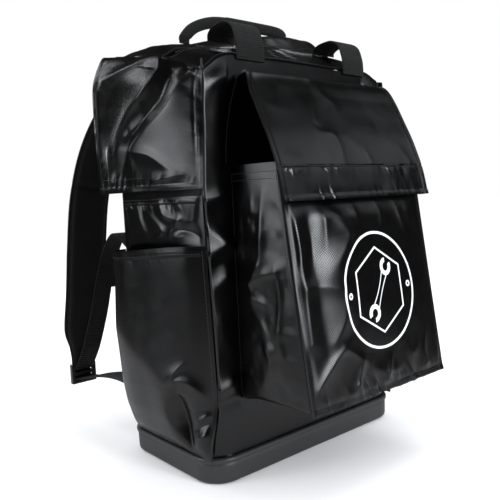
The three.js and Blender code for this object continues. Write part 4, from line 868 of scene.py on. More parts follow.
def zipper():
    """The chain: two rows of small teeth set alternately along the zip's line."""
    reach = ZIP_LENGTH / 2 / float(wall_half(np.array(ZIP_Y), np.array(RIM_HEIGHT)))
    share = np.linspace(-reach, reach, TOOTH_COUNT)
    line = top_point(share, np.full(TOOTH_COUNT, ZIP_Y))
    tangent = unit(np.gradient(line, axis=0))
    up = unit(np.cross(tangent, np.array([0, 1.0, 0])))
    up *= np.sign(up[:, 2:])
    side = np.cross(up, tangent)
    hand = np.where(np.arange(TOOTH_COUNT) % 2, 1.0, -1.0)[:, None]
    centre = line - 0.9 * up + side * hand
    corners = ((-1, -1), (1, -1), (1, 1), (-1, 1))
    box = np.array([(x, y, z) for z in (-1, 1) for x, y in corners], float)
    local = box * (np.where(box[:, 2:] > 0, 0.75, 1.0) * np.array(TOOTH_SIZE))
    points = (
        centre[:, None]
        + tangent[:, None] * local[None, :, :1]
        + side[:, None] * local[None, :, 1:2]
        + up[:, None] * local[None, :, 2:]
    )
    sides = [(k, (k + 1) % 4, (k + 1) % 4 + 4, k + 4) for k in range(4)]
    cube = np.array([(0, 3, 2, 1), (4, 5, 6, 7), *sides])
    faces = (cube[None] + 8 * np.arange(TOOTH_COUNT)[:, None, None]).reshape(-1, 4)
    object_from("zipper_teeth", points, [faces], TEETH, sharp=30)


# The front pocket and its flap


def pocket_depth(z):
    """How far the pocket's front stands out, straight from its foot to its mouth."""
    up = (z - POCKET_BOTTOM) / (POCKET_TOP - POCKET_BOTTOM)
    return lerp(POCKET_DEPTH_LOW, POCKET_DEPTH_HIGH, np.clip(up, 0, 1))


def gusset_place(share):
    """Down one side, round a corner, along the bottom and up the other side."""
    half = POCKET_WIDTH / 2
    side = POCKET_TOP - POCKET_BOTTOM - POCKET_CORNER
    arc = math.pi / 2 * POCKET_CORNER
    total = 2 * side + 2 * arc + 2 * (half - POCKET_CORNER)
    turn = np.where(share > 0.5, -1.0, 1.0)
    gone = np.where(share > 0.5, 1 - share, share) * total
    angle = np.clip((gone - side) / POCKET_CORNER, 0, math.pi / 2)
    out_x, out_z = -np.cos(angle), -np.sin(angle)
    x = -half + POCKET_CORNER + out_x * POCKET_CORNER + np.maximum(gone - side - arc, 0)
    z = POCKET_TOP - np.minimum(gone, side) + out_z * POCKET_CORNER
    return x * turn, z, out_x * turn, out_z


def pocket_gusset():
    """A bellows: it stands out from its route by half a sine from back to front, with a
    vertical crease along its middle that the side folds run into."""
    u, v = shares(361, 51)
    x, z, out_x, out_z = gusset_place(u)
    low = -out_z
    reach = v * (pocket_depth(z + low * POCKET_FRONT_LIFT) - CLOTH - GAP)
    lift = low * (POCKET_FRONT_LIFT * v + POCKET_FOLD * 0.7 * np.sin(v * math.pi))
    bellows = (1 - low) * POCKET_FOLD * 0.6 * np.sin(v * math.pi)
    rise = bellows * (1 - 0.5 * v) + edge_fade(u, v, 0.12) * (
        0.8 * folds(GUSSET_FOLDS, u, v, GUSSET_LENGTH, GUSSET_DEPTH)
        + 0.8 * folds(GUSSET_FOLDS, 1 - u, v, GUSSET_LENGTH, GUSSET_DEPTH)
        + 1.2 * ripple(u * GUSSET_LENGTH, v * 60, 22, 21)
        + 0.5 * ripple(u * GUSSET_LENGTH, v * GUSSET_DEPTH, 9, 22)
    )
    grid = np.stack([x + out_x * rise, FRONT_FACE - reach, z + out_z * rise + lift], -1)
    toward = np.array([0, 0, -1.0])
    sheet = Sheet(grid, toward)
    if (sheet.normal[:, :60] @ np.array([-1.0, 0, 0])).sum() < 0:
        sheet = Sheet(grid, -toward)
    sheet.make("front_pocket_side_cloth", VINYL, ["front_pocket_gusset"])
    t = np.linspace(0.01, 0.4, 200)
    rows = [sheet.seam(part, down) for down in (0.02, 0.985) for part in (t, 1 - t)]
    t = np.linspace(0.04, 0.96, 60)
    rows += [sheet.seam(across, t) for across in (0.012, 0.022, 0.978, 0.988)]
    stitched("pocket_side_stitching", rows)


def pocket_panel():
    """A leaning panel with a slight belly, creases, and gathers above its sewn bottom edge."""
    half = POCKET_WIDTH / 2
    low = POCKET_BOTTOM + POCKET_FRONT_LIFT
    u, v = shares(171, 187)
    z = lerp(POCKET_TOP, low, v)
    height = POCKET_TOP - low
    belly = POCKET_BELLY * np.sin(u * math.pi) * np.sin(v * math.pi)
    side = np.minimum(u, 1 - u) * POCKET_WIDTH
    away = (1 - v) * height
    rise = belly + smooth((v - 0.14) / 0.1) * edge_fade(u, v, 0.05) * (
        1.25 * folds(FRONT_PANEL_FOLDS, u, v, POCKET_WIDTH, height)
        + 0.6 * ripple(u * POCKET_WIDTH, v * 110, 34, 31)
        + 0.1 * ripple(u * POCKET_WIDTH, v * 200, 12, 32)
    )
    rise += 2.4 * pucker(u * POCKET_WIDTH, away - 5, 9, 13, 33) * smooth(side / 12)
    rise += hem(side, 4.5, 0.7) + hem(away, 5, 0.8)
    grid = np.stack([lerp(-half, half, u), FRONT_FACE - pocket_depth(z) - rise, z], -1)
    sheet = Sheet(grid, (0, -1, 0))
    back = np.array([0, 1, 0])
    sheet.inner = grid + CLOTH * back + back * np.maximum(rise, 0)[..., None] * 0.6
    sheet.make("front_pocket_cloth", VINYL, ["front_pocket_panel"])
    t = np.linspace(0.03, 0.985, 200)
    rows = [sheet.seam(0.018, t), sheet.seam(0.982, t)]
    rows.append(sheet.seam(np.linspace(0.02, 0.98, 200), 0.982))
    stitched("front_pocket_stitching", rows)
    return sheet


def ring_shape(radius, half_width, sides, count, turn=0.0):
    """Inner and outer edges of a ring, round or with straight sides."""
    t = np.linspace(0, 2 * math.pi, count + 1)
    if sides:
        sector = 2 * math.pi / sides
        local = (t - turn) % sector - sector / 2
        shape = math.cos(sector / 2) / np.cos(local)
    else:
        shape = np.ones_like(t)
    edges = []
    for r in (radius - half_width, radius + half_width):
        edges.append(np.stack([r * shape * np.cos(t), r * shape * np.sin(t)], -1))
    return edges


def strip_between(first, second, steps):
    """Fills the strip between two edges with rows of points."""
    t = np.linspace(0, 1, steps)[:, None, None]
    return first[None] * (1 - t) + second[None] * t


def emblem(sheet):
    """A printed mark of plain shapes: a ring, a hexagon inside it, and an open-ended spanner
    with a small bolt circle at each side, laid on the pocket's own surface."""
    low = POCKET_BOTTOM + POCKET_FRONT_LIFT
    shapes = [strip_between(*ring_shape(MARK_RING, 1.3, 0, 180), 3)]
    shapes.append(strip_between(*ring_shape(MARK_HEXAGON, 1.1, 6, 180, math.radians(30)), 3))
    for x in (-MARK_BOLT_SPREAD, MARK_BOLT_SPREAD):
        dot = strip_between(*ring_shape(MARK_BOLT, 0.9, 0, 40), 3)
        shapes.append(dot + np.array([x, 0.0]))
    lean = math.radians(SPANNER_LEAN)
    along = np.array([math.cos(lean), math.sin(lean)])
    aside = np.array([-math.sin(lean), math.cos(lean)])
    t = np.linspace(-SPANNER_SHANK, SPANNER_SHANK, 60)
    waist = 3.0 + 1.6 * (np.abs(t) / SPANNER_SHANK) ** 2
    for hand in (-1, 1):
        edge = t[:, None] * along + hand * waist[:, None] * aside
        shapes.append(strip_between(edge - hand * 0.55 * aside, edge + hand * 0.55 * aside, 3))
    for end in (-1, 1):
        angle = np.linspace(math.radians(34), math.radians(326), 90)
        turn = lean + (0 if end > 0 else math.pi)
        spoke = np.stack([np.cos(angle + turn), np.sin(angle + turn)], -1)
        hub = end * SPANNER_HUB * along
        shapes.append(strip_between(hub + SPANNER_JAW * spoke, hub + SPANNER_HEAD * spoke, 4))
    points, faces, base = [], [], 0
    for shape in shapes:
        flat = shape + np.array([MARK_X, MARK_Z])
        u = (flat[..., 0] + POCKET_WIDTH / 2) / POCKET_WIDTH
        v = (POCKET_TOP - flat[..., 1]) / (POCKET_TOP - low)
        rows, columns = shape.shape[:2]
        place, normal = sheet.trace(u.ravel(), v.ravel(), 0.22)
        under = place - 0.3 * normal
        count = rows * columns
        index = np.arange(count).reshape(rows, columns) + base
        loop = around(index)
        after = np.roll(loop, -1)
        rim = np.stack([after, loop, loop + count, after + count], -1)
        cells = np.concatenate([quads_of(index), quads_of(index + count)[:, ::-1], rim])
        both = np.concatenate([place, under])
        a, b, c = (both[cells[:50, k] - base] for k in (0, 1, 2))
        if np.cross(b - a, c - a)[:, 1].sum() > 0:
            cells = cells[:, ::-1]
        points.append(both)
        faces.append(cells)
        base += 2 * count
    points, faces = np.concatenate(points), np.concatenate(faces)
    object_from("spanner_print", points, [faces], PRINT)


def flap_yoke():
    """The shield-shaped panel behind the flap: its sides draw in towards the top."""
    u, v = shares(101, 51)
    half = lerp(YOKE_HALF_LOW, YOKE_HALF_HIGH, (1 - v) ** 2)
    z = POCKET_TOP + GAP + (1 - v) * YOKE_HEIGHT
    side = np.minimum(u, 1 - u) * 2 * half
    rise = hem(side, 4, 0.5) + 0.6 * ripple(u * 220, v * 90, 24, 41) * edge_fade(u, v, 0.1)
    y = FRONT_FACE - YOKE_THICKNESS + 0.8 - rise
    sheet = Sheet(np.stack([lerp(-half, half, u), y, z], -1), (0, -1, 0))
    sheet.make("flap_yoke_cloth", VINYL, ["front_flap_yoke"])
    t = np.linspace(0.02, 0.98, 120)
    rows = [sheet.seam(across, t, *SHORT_STITCH) for across in (0.015, 0.985)]
    stitched("flap_yoke_stitching", rows)


def flap_seams(name, sheet, gone, inset, start, heights):
    """Stitches beside both edges of a flap, and across it at heights above its foot."""
    long, v = gone[-1], np.linspace(0, 1, len(gone))
    down = np.interp(np.linspace(0.03, 0.99, 200) * long, gone, v)
    rows = [sheet.seam(inset, down), sheet.seam(1 - inset, down)]
    t = np.linspace(start, 1 - start, 220)
    rows += [sheet.seam(t, float(np.interp(long - above, gone, v))) for above in heights]
    stitched(name + "_stitching", rows)


def front_flap():
    """The flap's profile, read row by row from its root over the crest to its edge, as wide as
    its root at the top and easing to its full width, with creases, hems and gathers."""
    u, v = shares(181, 165)
    root = FRONT_FACE - YOKE_THICKNESS - GAP
    half = lerp(FLAP_HALF_ROOT, FLAP_HALF_EDGE, smooth(v / 0.35))
    reach = (FLAP_REACH - YOKE_THICKNESS - GAP) * walk(FLAP_PROFILE["reach"], v)
    below = FLAP_DROP * walk(FLAP_PROFILE["below"], v)
    base = np.stack([lerp(-half, half, u), root - reach, FLAP_ROOT - 3 * CLOTH - below], -1)
    normal, _ = facing(base, (0, -1, 0.3))
    gone = travelled(base[:, base.shape[1] // 2])
    down = gone[:, None] + 0 * u
    long = gone[-1]
    side = np.minimum(u, 1 - u) * 2 * half
    foot = long - down
    across = u * FLAP_WIDTH
    rise = edge_fade(u, v, 0.07) * (
        0.5 * folds(FRONT_FLAP_FOLDS, u, down / long, FLAP_WIDTH, long)
        + 0.7 * ripple(across, down * 0.5, 60, 51)
        + 0.1 * ripple(across, down, 14, 52)
    )
    second = foot - FLAP_SEAMS[1]
    gather = pucker(across, second, 6, 9, 53) * smooth(-second / 3 + 0.5) * smooth(side / 10)
    rise += 1.5 * gather + 1.1 * pucker(across, foot - 5, 8, 8, 55) * smooth(side / 10)
    rise += hem(side, 5.5, 0.9) + hem(foot, 5, 0.9) - 0.5 * np.exp(-((second / 0.9) ** 2))
    rise *= smooth(down / 6)
    grid = base + normal * rise[..., None]
    sheet = Sheet(grid, (0, -1, 0.3))
    made = sheet.make("front_flap_cloth", VINYL, ["front_flap"])
    flap_seams("front_flap", sheet, gone, 0.02, 0.02, FLAP_SEAMS)


# The sides. Each is worked out at +X and turned over for the side at -X.


def on_side(grid, side):
    """Turns a grid worked out at +X over to the side that is meant."""
    return grid * np.array([side, 1, 1])


def low_pocket(word, side):
    """Stands out from the bag's wall by its plan times its rise, and tapers into the tray."""
    low = TRAY_HEIGHT + GAP
    first, last = LOW_POCKET_PLAN["along"][0], LOW_POCKET_PLAN["along"][-1]
    u, v = shares(133, 157)
    along = lerp(first, last, u)
    y = along * BAG_HALF_DEPTH
    up = 1 - v
    high = LOW_POCKET_HEIGHT - LOW_POCKET_SAG * smooth(u)
    z = low + up * high
    plan = read(LOW_POCKET_PLAN, "along", along, "out")
    rise = read(LOW_POCKET_RISE, "up", up, "out")
    away = v * high
    fold = edge_fade(u, v, 0.06) * (
        folds(LOW_POCKET_FOLDS, u, v, *LOW_POCKET_CLOTH)
        + 0.6 * ripple(y + 200, z * 0.5, 40, 61 + side)
    )
    fold += hem(away, 9, 0.8) + 0.5 * pucker(y + 200, away - 9, 8, 7, 65) * smooth(away / 5)
    foot = (1 - v) * high
    fold += 0.7 * pucker(y + 200, foot, 8, 9, 67) * smooth(foot / 4)
    out = LOW_POCKET_BULGE * plan * rise + fold * smooth(np.minimum(u, 1 - u) / 0.05)
    x = wall_half(y, z) - back_fall(y, z) + GAP + CLOTH + out
    sheet = Sheet(on_side(np.stack([x, y, z], -1), side), (side, 0, 0))
    name = f"side_pocket_low_{word}"
    sheet.make(name + "_cloth", VINYL, [name])
    rows = [sheet.seam(np.linspace(0.03, 0.97, 200), 7.5 / LOW_POCKET_HEIGHT)]
    rows += [sheet.seam(across, np.linspace(0.02, 0.98, 200)) for across in (0.022, 0.978)]
    stitched(name + "_stitching", rows)


def high_pocket(word, side):
    """Stands out by its plan and an ease up from its foot, with gathers under its hem."""
    first, last = HIGH_POCKET_PLAN["along"][0], HIGH_POCKET_PLAN["along"][-1]
    u, v = shares(125, 75)
    along = lerp(first, last, u)
    y = along * BAG_HALF_DEPTH
    up = 1 - v
    z = HIGH_POCKET_BOTTOM + up * HIGH_POCKET_HEIGHT
    plan = read(HIGH_POCKET_PLAN, "along", along, "out")
    away = v * HIGH_POCKET_HEIGHT
    fold = edge_fade(u, v, 0.06) * (
        folds(HIGH_POCKET_FOLDS, u, v, HIGH_POCKET_LENGTH, HIGH_POCKET_HEIGHT)
        + 0.8 * ripple(y + 300, z, 18, 71 + side)
    )
    fold += 1.1 * pucker(y + 300, away - 7, 5, 7, 73) * smooth(away / 6) + hem(away, 6, 0.9)
    out = HIGH_POCKET_BULGE * plan * smooth(up / 0.35) + fold * smooth(np.minimum(u, 1 - u) / 0.05)
    x = wall_half(y, z) + GAP + CLOTH + out
    sheet = Sheet(on_side(np.stack([x, y, z], -1), side), (side, 0, 0))
    name = f"side_pocket_high_{word}"
    sheet.make(name + "_cloth", VINYL, [name])
    t = np.linspace(0.03, 0.97, 150)
    rows = [sheet.seam(t, down / HIGH_POCKET_HEIGHT, *SHORT_STITCH) for down in (1.6, 5.2)]
    stitched(name + "_stitching", rows)


def side_flap(word, side):
    """Hangs from the rim over the upper pocket: its profile gives how far it stands out and how
    low it hangs, and it stands off less at the front."""
    u, v = shares(157, 165)
    y = lerp(-0.5, 0.5, u) * SIDE_FLAP_LENGTH
    rim = rim_height(side * FRONT_WIDTH / 2, y)
    curl = 1 - (1 - np.minimum(u / 0.55, 1)) ** 2.6
    standoff = SIDE_FLAP_STANDOFF * lerp(0.1, 1.15, curl)
    drop = rim - (RIM_HEIGHT - SIDE_FLAP_DROP)
    z = rim - drop * walk(SIDE_FLAP_PROFILE["below"], v)
    out = CLOTH + GAP + standoff * walk(SIDE_FLAP_PROFILE["out"], v)
    base = np.stack([wall_half(y, z) + out, y, z], -1)
    normal, _ = facing(base, (1, 0, 0))
    gone = travelled(base[:, base.shape[1] // 2])
    down, long = gone[:, None] + 0 * u, gone[-1]
    edge = np.minimum(u, 1 - u) * SIDE_FLAP_LENGTH
    foot = long - down
    rise = edge_fade(u, v, 0.07) * (
        1.5 * folds(SIDE_FLAP_FOLDS, u, down / long, SIDE_FLAP_LENGTH, long)
        + 0.4 * ripple(y + 300, down, 36, 81 + side)
    )
    rise += 1.0 * pucker(down, edge - 6, 10, 8, 85) * smooth(edge / 4) * smooth(foot / 8)
    rise += 1.2 * pucker(y + 300, foot - 10, 7, 8, 87) * smooth(edge / 8)
    rise += hem(edge, 7, 0.8) + hem(foot, 6, 0.9)
    rise *= smooth(down / 6)
    grid = on_side(base + normal * rise[..., None], side)
    sheet = Sheet(grid, (side, 0, 0.2))
    name = f"side_flap_{word}"
    made = sheet.make(name + "_cloth", VINYL, [name])
    flap_seams(name, sheet, gone, 0.035, 0.03, SIDE_FLAP_SEAMS)


def corner_piping(word, side):
    """The bound seam up the bag's front corner: a bead carried along the corner."""
    z = np.linspace(TRAY_HEIGHT + 4, RIM_HEIGHT - CORNER_DROOP - 1, 220)
    share = (z - BAG_FLOOR) / (RIM_HEIGHT - CORNER_DROOP - BAG_FLOOR)
    front, back, radius, _ = bag_outline(share)
    turn = math.radians(225)
    wobble = 0.5 * ripple(z, 0 * z, 24, 91)
    out = radius + PIPING_OUT + wobble
    x = -front + radius + out * math.cos(turn)
    y = -BAG_HALF_DEPTH + radius + out * math.sin(turn)
    line = np.stack([x * -side, y, z], -1)
    tangent = unit(np.gradient(line, axis=0))
    first = unit(np.cross(tangent, np.array([0, 1.0, 0])))
    second = np.cross(tangent, first)
    section = rounded_section(12, 2.0)[None]
    rings = sweep(line, first * PIPING_RADIUS, second * PIPING_RADIUS, section)
    rings_object(f"corner_piping_{word}", rings, BINDING)


# Tray


def tray():
    """The tray's wall carried round its outline: a filleted foot, a plain wall, a groove and a
    rounded lip, then down the inside to its floor."""
    half, deep = TRAY_WIDTH / 2, TRAY_DEPTH / 2
    turn = np.linspace(0, math.pi / 2, 10)
    foot = [(TRAY_FILLET * (1 - math.sin(a)), TRAY_FILLET * (1 - math.cos(a))) for a in turn]
    start = TRAY_HEIGHT - LIP_HEIGHT
    wall = [(-0.2, 12), (-0.3, 18), (-0.3, start - 2.2), (0.1, start - 1.5), (0.1, start - 0.9)]
    lip = [(-LIP_OUT + 0.3, start - 0.1), (-LIP_OUT, start + 0.6), (-LIP_OUT, TRAY_HEIGHT - 1.3)]
    over = [(-LIP_OUT + 0.4, TRAY_HEIGHT - 0.4), (-0.8, TRAY_HEIGHT), (TRAY_WALL - 0.6, TRAY_HEIGHT)]
    inside = [(TRAY_WALL, TRAY_HEIGHT - 0.6), (TRAY_WALL, TRAY_WALL + 0.2)]
    profile = np.array([*foot, *wall, *lip, *over, *inside])
    inset, z = profile[:, 0], profile[:, 1]
    radius = TRAY_CORNER - inset
    flat = outline_ring(half - inset, half - inset, deep - inset, radius, radius, 20, (40, 24, 40, 24))
    rings = np.concatenate([flat, np.broadcast_to(z[:, None, None], (*flat.shape[:2], 1))], -1)
    rings_object("moulded_tray", rings, TRAY, ["base_tray"], sharp=35)


# Harness


def route(table, share, side):
    """Points of a strap: its spread, its reach behind the back panel and its height."""
    x = STRAP_SPREAD * walk(table["side"], share)
    y = PANEL_FACE + GAP + STRAP_REACH * walk(table["out"], share)
    return on_side(np.stack([x, y, RIM_HEIGHT * walk(table["up"], share)], -1), side)


def travel_of(line, first=None, last=None):
    """The direction of travel along a line, with its first and last given where they matter."""
    travel = unit(np.gradient(line, axis=0))
    if first:
        travel[0], travel[-1] = first, last
    return travel


def across_of(travel):
    """The direction square to the travel and nearest to X."""
    return unit(np.array([1.0, 0, 0]) - travel * travel[:, :1])


def shoulder_pad(word, side):
    """A foam pad: its thickness is full over the middle and drops to a flat sewn margin, carried
    along the strap's route and narrowed into the webbing at its lower end."""
    count = 220
    share = np.linspace(0, 1, count)
    line = route(PAD_ROUTE, share, side)
    line[-1, 2] = ADJUSTER_LEVEL + ADJUSTER_HEIGHT / 2 + GAP
    travel = travel_of(line, (0, 1, 0), (0, 0, -1))
    across = across_of(travel)
    thick = np.cross(travel, across)
    wide = STRAP_WIDTH / 2 * walk(PAD_ROUTE["wide"], share)
    thin = np.where(share > 0.85, lerp(1, 0.45, (share - 0.85) / 0.15), 1)
    a = np.sin(np.linspace(-0.5, 0.5, 41) * math.pi)
    core = np.clip(1 - (np.abs(a) / 0.86) ** 6, 0, 1) ** 0.5
    b = 0.24 + 0.76 * core
    b[[0, -1]] = 0.08
    section = np.concatenate([np.stack([a, b], -1), np.stack([a[::-1], -b[::-1]], -1)[1:-1]])
    gone = travelled(line)
    full = 1 + 0.05 * ripple(gone, 0 * gone, 20, 101)
    seams = np.ones(count)
    for place in PAD_SEAMS:
        seams -= 0.45 * np.exp(-(((gone - place) / 2.4) ** 2))
    rings = sweep(
        line, across * wide[:, None], thick * (STRAP_THICKNESS / 2 * thin * full * seams)[:, None],
        section[None],
    )
    name = f"shoulder_pad_{word}"
    made = rings_object(name + "_cloth", rings, PAD, [name], sharp=60)
    rows = []
    inner = slice(8, 200)
    for hand in (-0.9, 0.9):
        for face in (1, -1):
            normal = thick[inner] * face
            edge = line[inner] + across[inner] * (wide * hand)[inner, None]
            lifted = edge + normal * (0.27 * STRAP_THICKNESS / 2)
            rows.append((lifted, normal, STITCH_STEP, STITCH_LENGTH))
    stitched(name + "_stitching", rows)


def ribbed(name, line, travel, wide, material, nodes, ribs=STRAP_RIB, width=WEBBING_WIDTH):
    """Webbing: a flat band whose faces rise and fall in cross ribs along its length."""
    gone = travelled(line)
    at = np.linspace(0, gone[-1], int(gone[-1] / RIB_STEP))
    places, thick = sample(at, gone, line), unit(sample(at, gone, np.cross(travel, wide)))
    wide = unit(sample(at, gone, wide))
    swell = 1 + RIB_SWELL * np.sin(2 * math.pi * at / ribs)
    rings = sweep(
        places, wide * (width / 2 - 0.1), thick * (WEBBING / 2 * swell * 0.9)[:, None],
        flat_section(15, 0.08)[None],
    )
    return rings_object(name, rings, material, nodes, sharp=0)


def adjuster_place(side):
    """The middle of the adjuster, below the end of the pad."""
    end = route(PAD_ROUTE, np.array([1.0]), side)[0]
    return np.array([end[0], end[1], ADJUSTER_LEVEL])


def straps(word, side):
    """The ribbed strap below the adjuster turns from standing on edge to lying across; the tail
    lies across all the way."""
    home = adjuster_place(side)
    face = home[1] - ADJUSTER_THICKNESS / 2 - GAP
    share = np.linspace(0, 1, 120)
    line = route(LOW_STRAP_ROUTE, share, side)
    goal = np.array([home[0], face, home[2] - ADJUSTER_HEIGHT / 4])
    line += (goal - line[-1]) * smooth((share[:, None] - 0.75) / 0.25)
    travel = travel_of(line, (0, 1, 0), (0, 1, 0))
    flat = across_of(travel)
    up = np.cross(travel, flat)
    angle = math.pi / 2 * (1 - smooth(share * 1.1))[:, None]
    wide = flat * np.cos(angle) + up * np.sin(angle)
    name = f"lower_strap_{word}"
    ribbed(name + "_webbing", line, travel, wide, STRAP_WEB, [name])
    line = route(TAIL_ROUTE, share, side)
    goal = np.array([home[0], face, home[2] + ADJUSTER_HEIGHT / 4])
    line += (goal - line[0]) * (1 - smooth(share[:, None] / 0.12))
    travel = travel_of(line, (0, -1, 0), (0, -1, 0))
    name = f"strap_tail_{word}"
    ribbed(name + "_webbing", line, travel, across_of(travel), STRAP_WEB, [name])


def buckle_turn(word, side):
    """Webbing that passes in at the upper slot, behind the middle bar and out at the lower."""
    home = adjuster_place(side)
    reach = ADJUSTER_THICKNESS / 2 + WEBBING / 2 + GAP
    slot = ADJUSTER_HEIGHT / 4
    share = np.linspace(0, 1, 80)
    back = reach * walk([-1.1, -0.6, 0.5, 1, 1, 0.5, -0.6, -1.1], share)
    up = slot * walk([1.5, 1.15, 0.8, 0.45, -0.45, -0.8, -1.15, -1.5], share)
    line = np.array(home) + np.stack([0 * share, back, up], -1)
    wide = np.tile([1.0, 0, 0], (80, 1))
    node = f"strap_tail_{word}"
    ribbed(node + "_turn", line, travel_of(line), wide, STRAP_WEB, [node])


def chest_start():
    """Where the chest strap meets the right pad: beside its route, level with its upper edge."""
    share = np.linspace(0, 1, 121)
    line = route(PAD_ROUTE, share, -1)
    k = 40 + int(np.argmax(line[40:, 2] < CHEST_LEVEL + WEBBING_WIDTH / 2))
    return line[k, 0] + STRAP_WIDTH / 2 + 2 * GAP, line[k, 1]


def chest_strap(word, side):
    """Webbing from the pad to the chest buckle, which it reaches a quarter sine further back."""
    x0, y0 = chest_start()
    t = np.linspace(0, 1, 60)
    x = lerp(x0, -CHEST_BUCKLE_WIDTH / 2 - GAP, t)
    line = np.stack([-x * side, y0 + 4 * np.sin(math.pi / 2 * t), np.full_like(t, CHEST_LEVEL)], -1)
    wide = np.tile([0.0, 0, 1], (60, 1))
    name = f"chest_strap_{word}"
    ribbed(name + "_webbing", line, travel_of(line), wide, STRAP_WEB, [name])


# Handle and loops


def highest(level, xs, ys):
    """The greatest height of the top at some places. Its half width is read at one level of y."""
    half = float(wall_half(np.array(level), np.array(RIM_HEIGHT)))
    return max(float(top_point(np.array(x / half), np.array(y))[2]) for x in xs for y in ys)


def handle_ground(x, inward):
    """Height that a foot of the handle stands at, just clear of the top under it."""
    y = HANDLE_SETBACK - BAG_HALF_DEPTH
    xs = [x + s * inward * HANDLE_TALL for s in (0, 0.5, 1)]
    return highest(y, xs, [y + e * HANDLE_THICKNESS / 2 for e in (-1, 1)]) + GAP


def grab_handle():
    """A padded handle on edge: its outer edge follows the route, and its section is a rounded bar."""
    count = 200
    share = np.linspace(0, 1, count)
    last = HANDLE_ROUTE["across"][-1]
    right = handle_ground(HANDLE_SPAN * HANDLE_ROUTE["across"][0], 1)
    left = handle_ground(HANDLE_SPAN * last, -1)
    foot = np.where(share < 0.5, right, left)
    up = walk(HANDLE_ROUTE["up"], share)
    x = HANDLE_SPAN * walk(HANDLE_ROUTE["across"], share)
    y = HANDLE_SETBACK - BAG_HALF_DEPTH
    line = np.stack([x, np.full_like(x, y), lerp(foot, HANDLE_TOP, up)], -1)
    travel = travel_of(line, (0, 0, 1), (0, 0, -1))
    inward = unit(np.stack([travel[:, 2], 0 * x, -travel[:, 0] * smooth(2 * up)], -1))
    middle = smooth(np.minimum(share, 1 - share) / 0.12)
    thick = np.array([0, 1.0, 0]) * (HANDLE_THICKNESS / 2 * lerp(0.5, 1, middle))[:, None]
    centre = line + inward * HANDLE_TALL / 2
    rings = sweep(centre, inward * HANDLE_TALL / 2, thick, rounded_section(28, 3.2)[None])
    rings_object("grab_handle_webbing", rings, WEB, ["grab_handle"], sharp=0)


def lifting_loop(word):
    """Wide webbing out of the front seam, up and back over a crest, and down to the top."""
    place = LOOP_PLACES[word]
    reach = ZIP_SETBACK * LOOP_REACH
    front = FRONT_FACE - WEBBING / 2
    xs = [place + e * LOOP_WIDTH / 2 for e in (-1, -0.5, 0, 0.5, 1)]
    floor = highest(ZIP_Y, xs, [front + reach + t * WEBBING / 2 for t in (-1, 1)]) + 2 * GAP
    share = np.linspace(0, 1, 160)
    crest = 4 / (len(LOOP_ROUTE["up"]) - 1)
    foot = np.where(share < crest, RIM_HEIGHT - LOOP_FOOT, floor)
    z = lerp(foot, RIM_HEIGHT + LOOP_RISE, walk(LOOP_ROUTE["up"], share))
    y = front + reach * walk(LOOP_ROUTE["back"], share)
    line = np.stack([np.full_like(z, place), y, z], -1)
    travel = travel_of(line, (0, 0, 1), (0, 0, -1))
    wide = np.tile([1.0, 0, 0], (160, 1))
    name = f"lifting_loop_{word}"
    ribbed(name + "_webbing", line, travel, wide, WEB, [name], LOOP_RIB, LOOP_WIDTH)


def back_panel():
    """A quilted pad: a plate rounded as |u|^7 + |v|^7 = 1, crowned between sewn channels."""
    half, tall = PAD_PANEL_WIDTH / 2, (PAD_PANEL_TOP - PAD_PANEL_BOTTOM) / 2
    middle = (PAD_PANEL_TOP + PAD_PANEL_BOTTOM) / 2
    u, v = np.meshgrid(np.linspace(-1, 1, 91), np.linspace(-1, 1, 131))
    n = 7
    squash = (np.abs(u) ** n + np.abs(v) ** n) ** (1 / n)
    limit = np.maximum(np.abs(u), np.abs(v))
    scale = np.where(squash > 0, limit / np.maximum(squash, 1e-9), 1)
    x, z = half * u * scale, tall * v * scale
    rim = 1 - np.maximum(np.abs(u), np.abs(v))
    height = PAD_PANEL_THICKNESS * (1 - np.clip(1 - rim / 0.09, 0, 1) ** 3)
    channel = np.exp(-((np.abs(x) - CHANNEL_X) ** 2) / 12) + np.exp(-((z - CHANNEL_Z) ** 2) / 12)
    height = np.maximum(height - CHANNEL_DEPTH * channel * smooth(rim / 0.1), 1.0)
    grid = np.stack([x, BACK_FACE + height, middle + z], -1)
    sheet = Sheet(grid, (0, 1, 0))
    sheet.inner = np.stack([x, np.full_like(x, BACK_FACE), middle + z], -1)
    made = sheet.make("back_panel_cloth", PAD, ["back_panel"])


def dress_hardware():
    """The solid buckles, slider and zipper tape keep their own shapes, with edges eased by a
    width in metres."""
    for node, material, width in (
        ("adjuster_right", BUCKLE, 0.0009),
        ("adjuster_left", BUCKLE, 0.0009),
        ("chest_buckle", BUCKLE, 0.0012),
        ("zipper_slider", BUCKLE, 0.0007),
        ("zipper", BINDING, 0.0003),
    ):
        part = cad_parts[node]
        part.data.materials.clear()
        part.data.materials.append(material)
        weld = part.modifiers.new("weld", "WELD")
        weld.merge_threshold = 0.00001
        bevel = part.modifiers.new("bevel", "BEVEL")
        bevel.width = width
        bevel.segments = 2
        bevel.limit_method = "ANGLE"
        bevel.angle_limit = math.radians(35)


# Studio


# Where the photograph was taken from: degrees, metres from the part's origin, and the camera's
# lens and sensor in millimetres.
YAW, PITCH, ROLL = 40.51, 5.08, -2.62
EYE = (-0.4912, -0.5559, 0.2911)
LENS, SENSOR = 44.0, 36.0
FLOOR_HALF = 12.0
LAMP_COLOUR = (0.93, 0.965, 1.0)
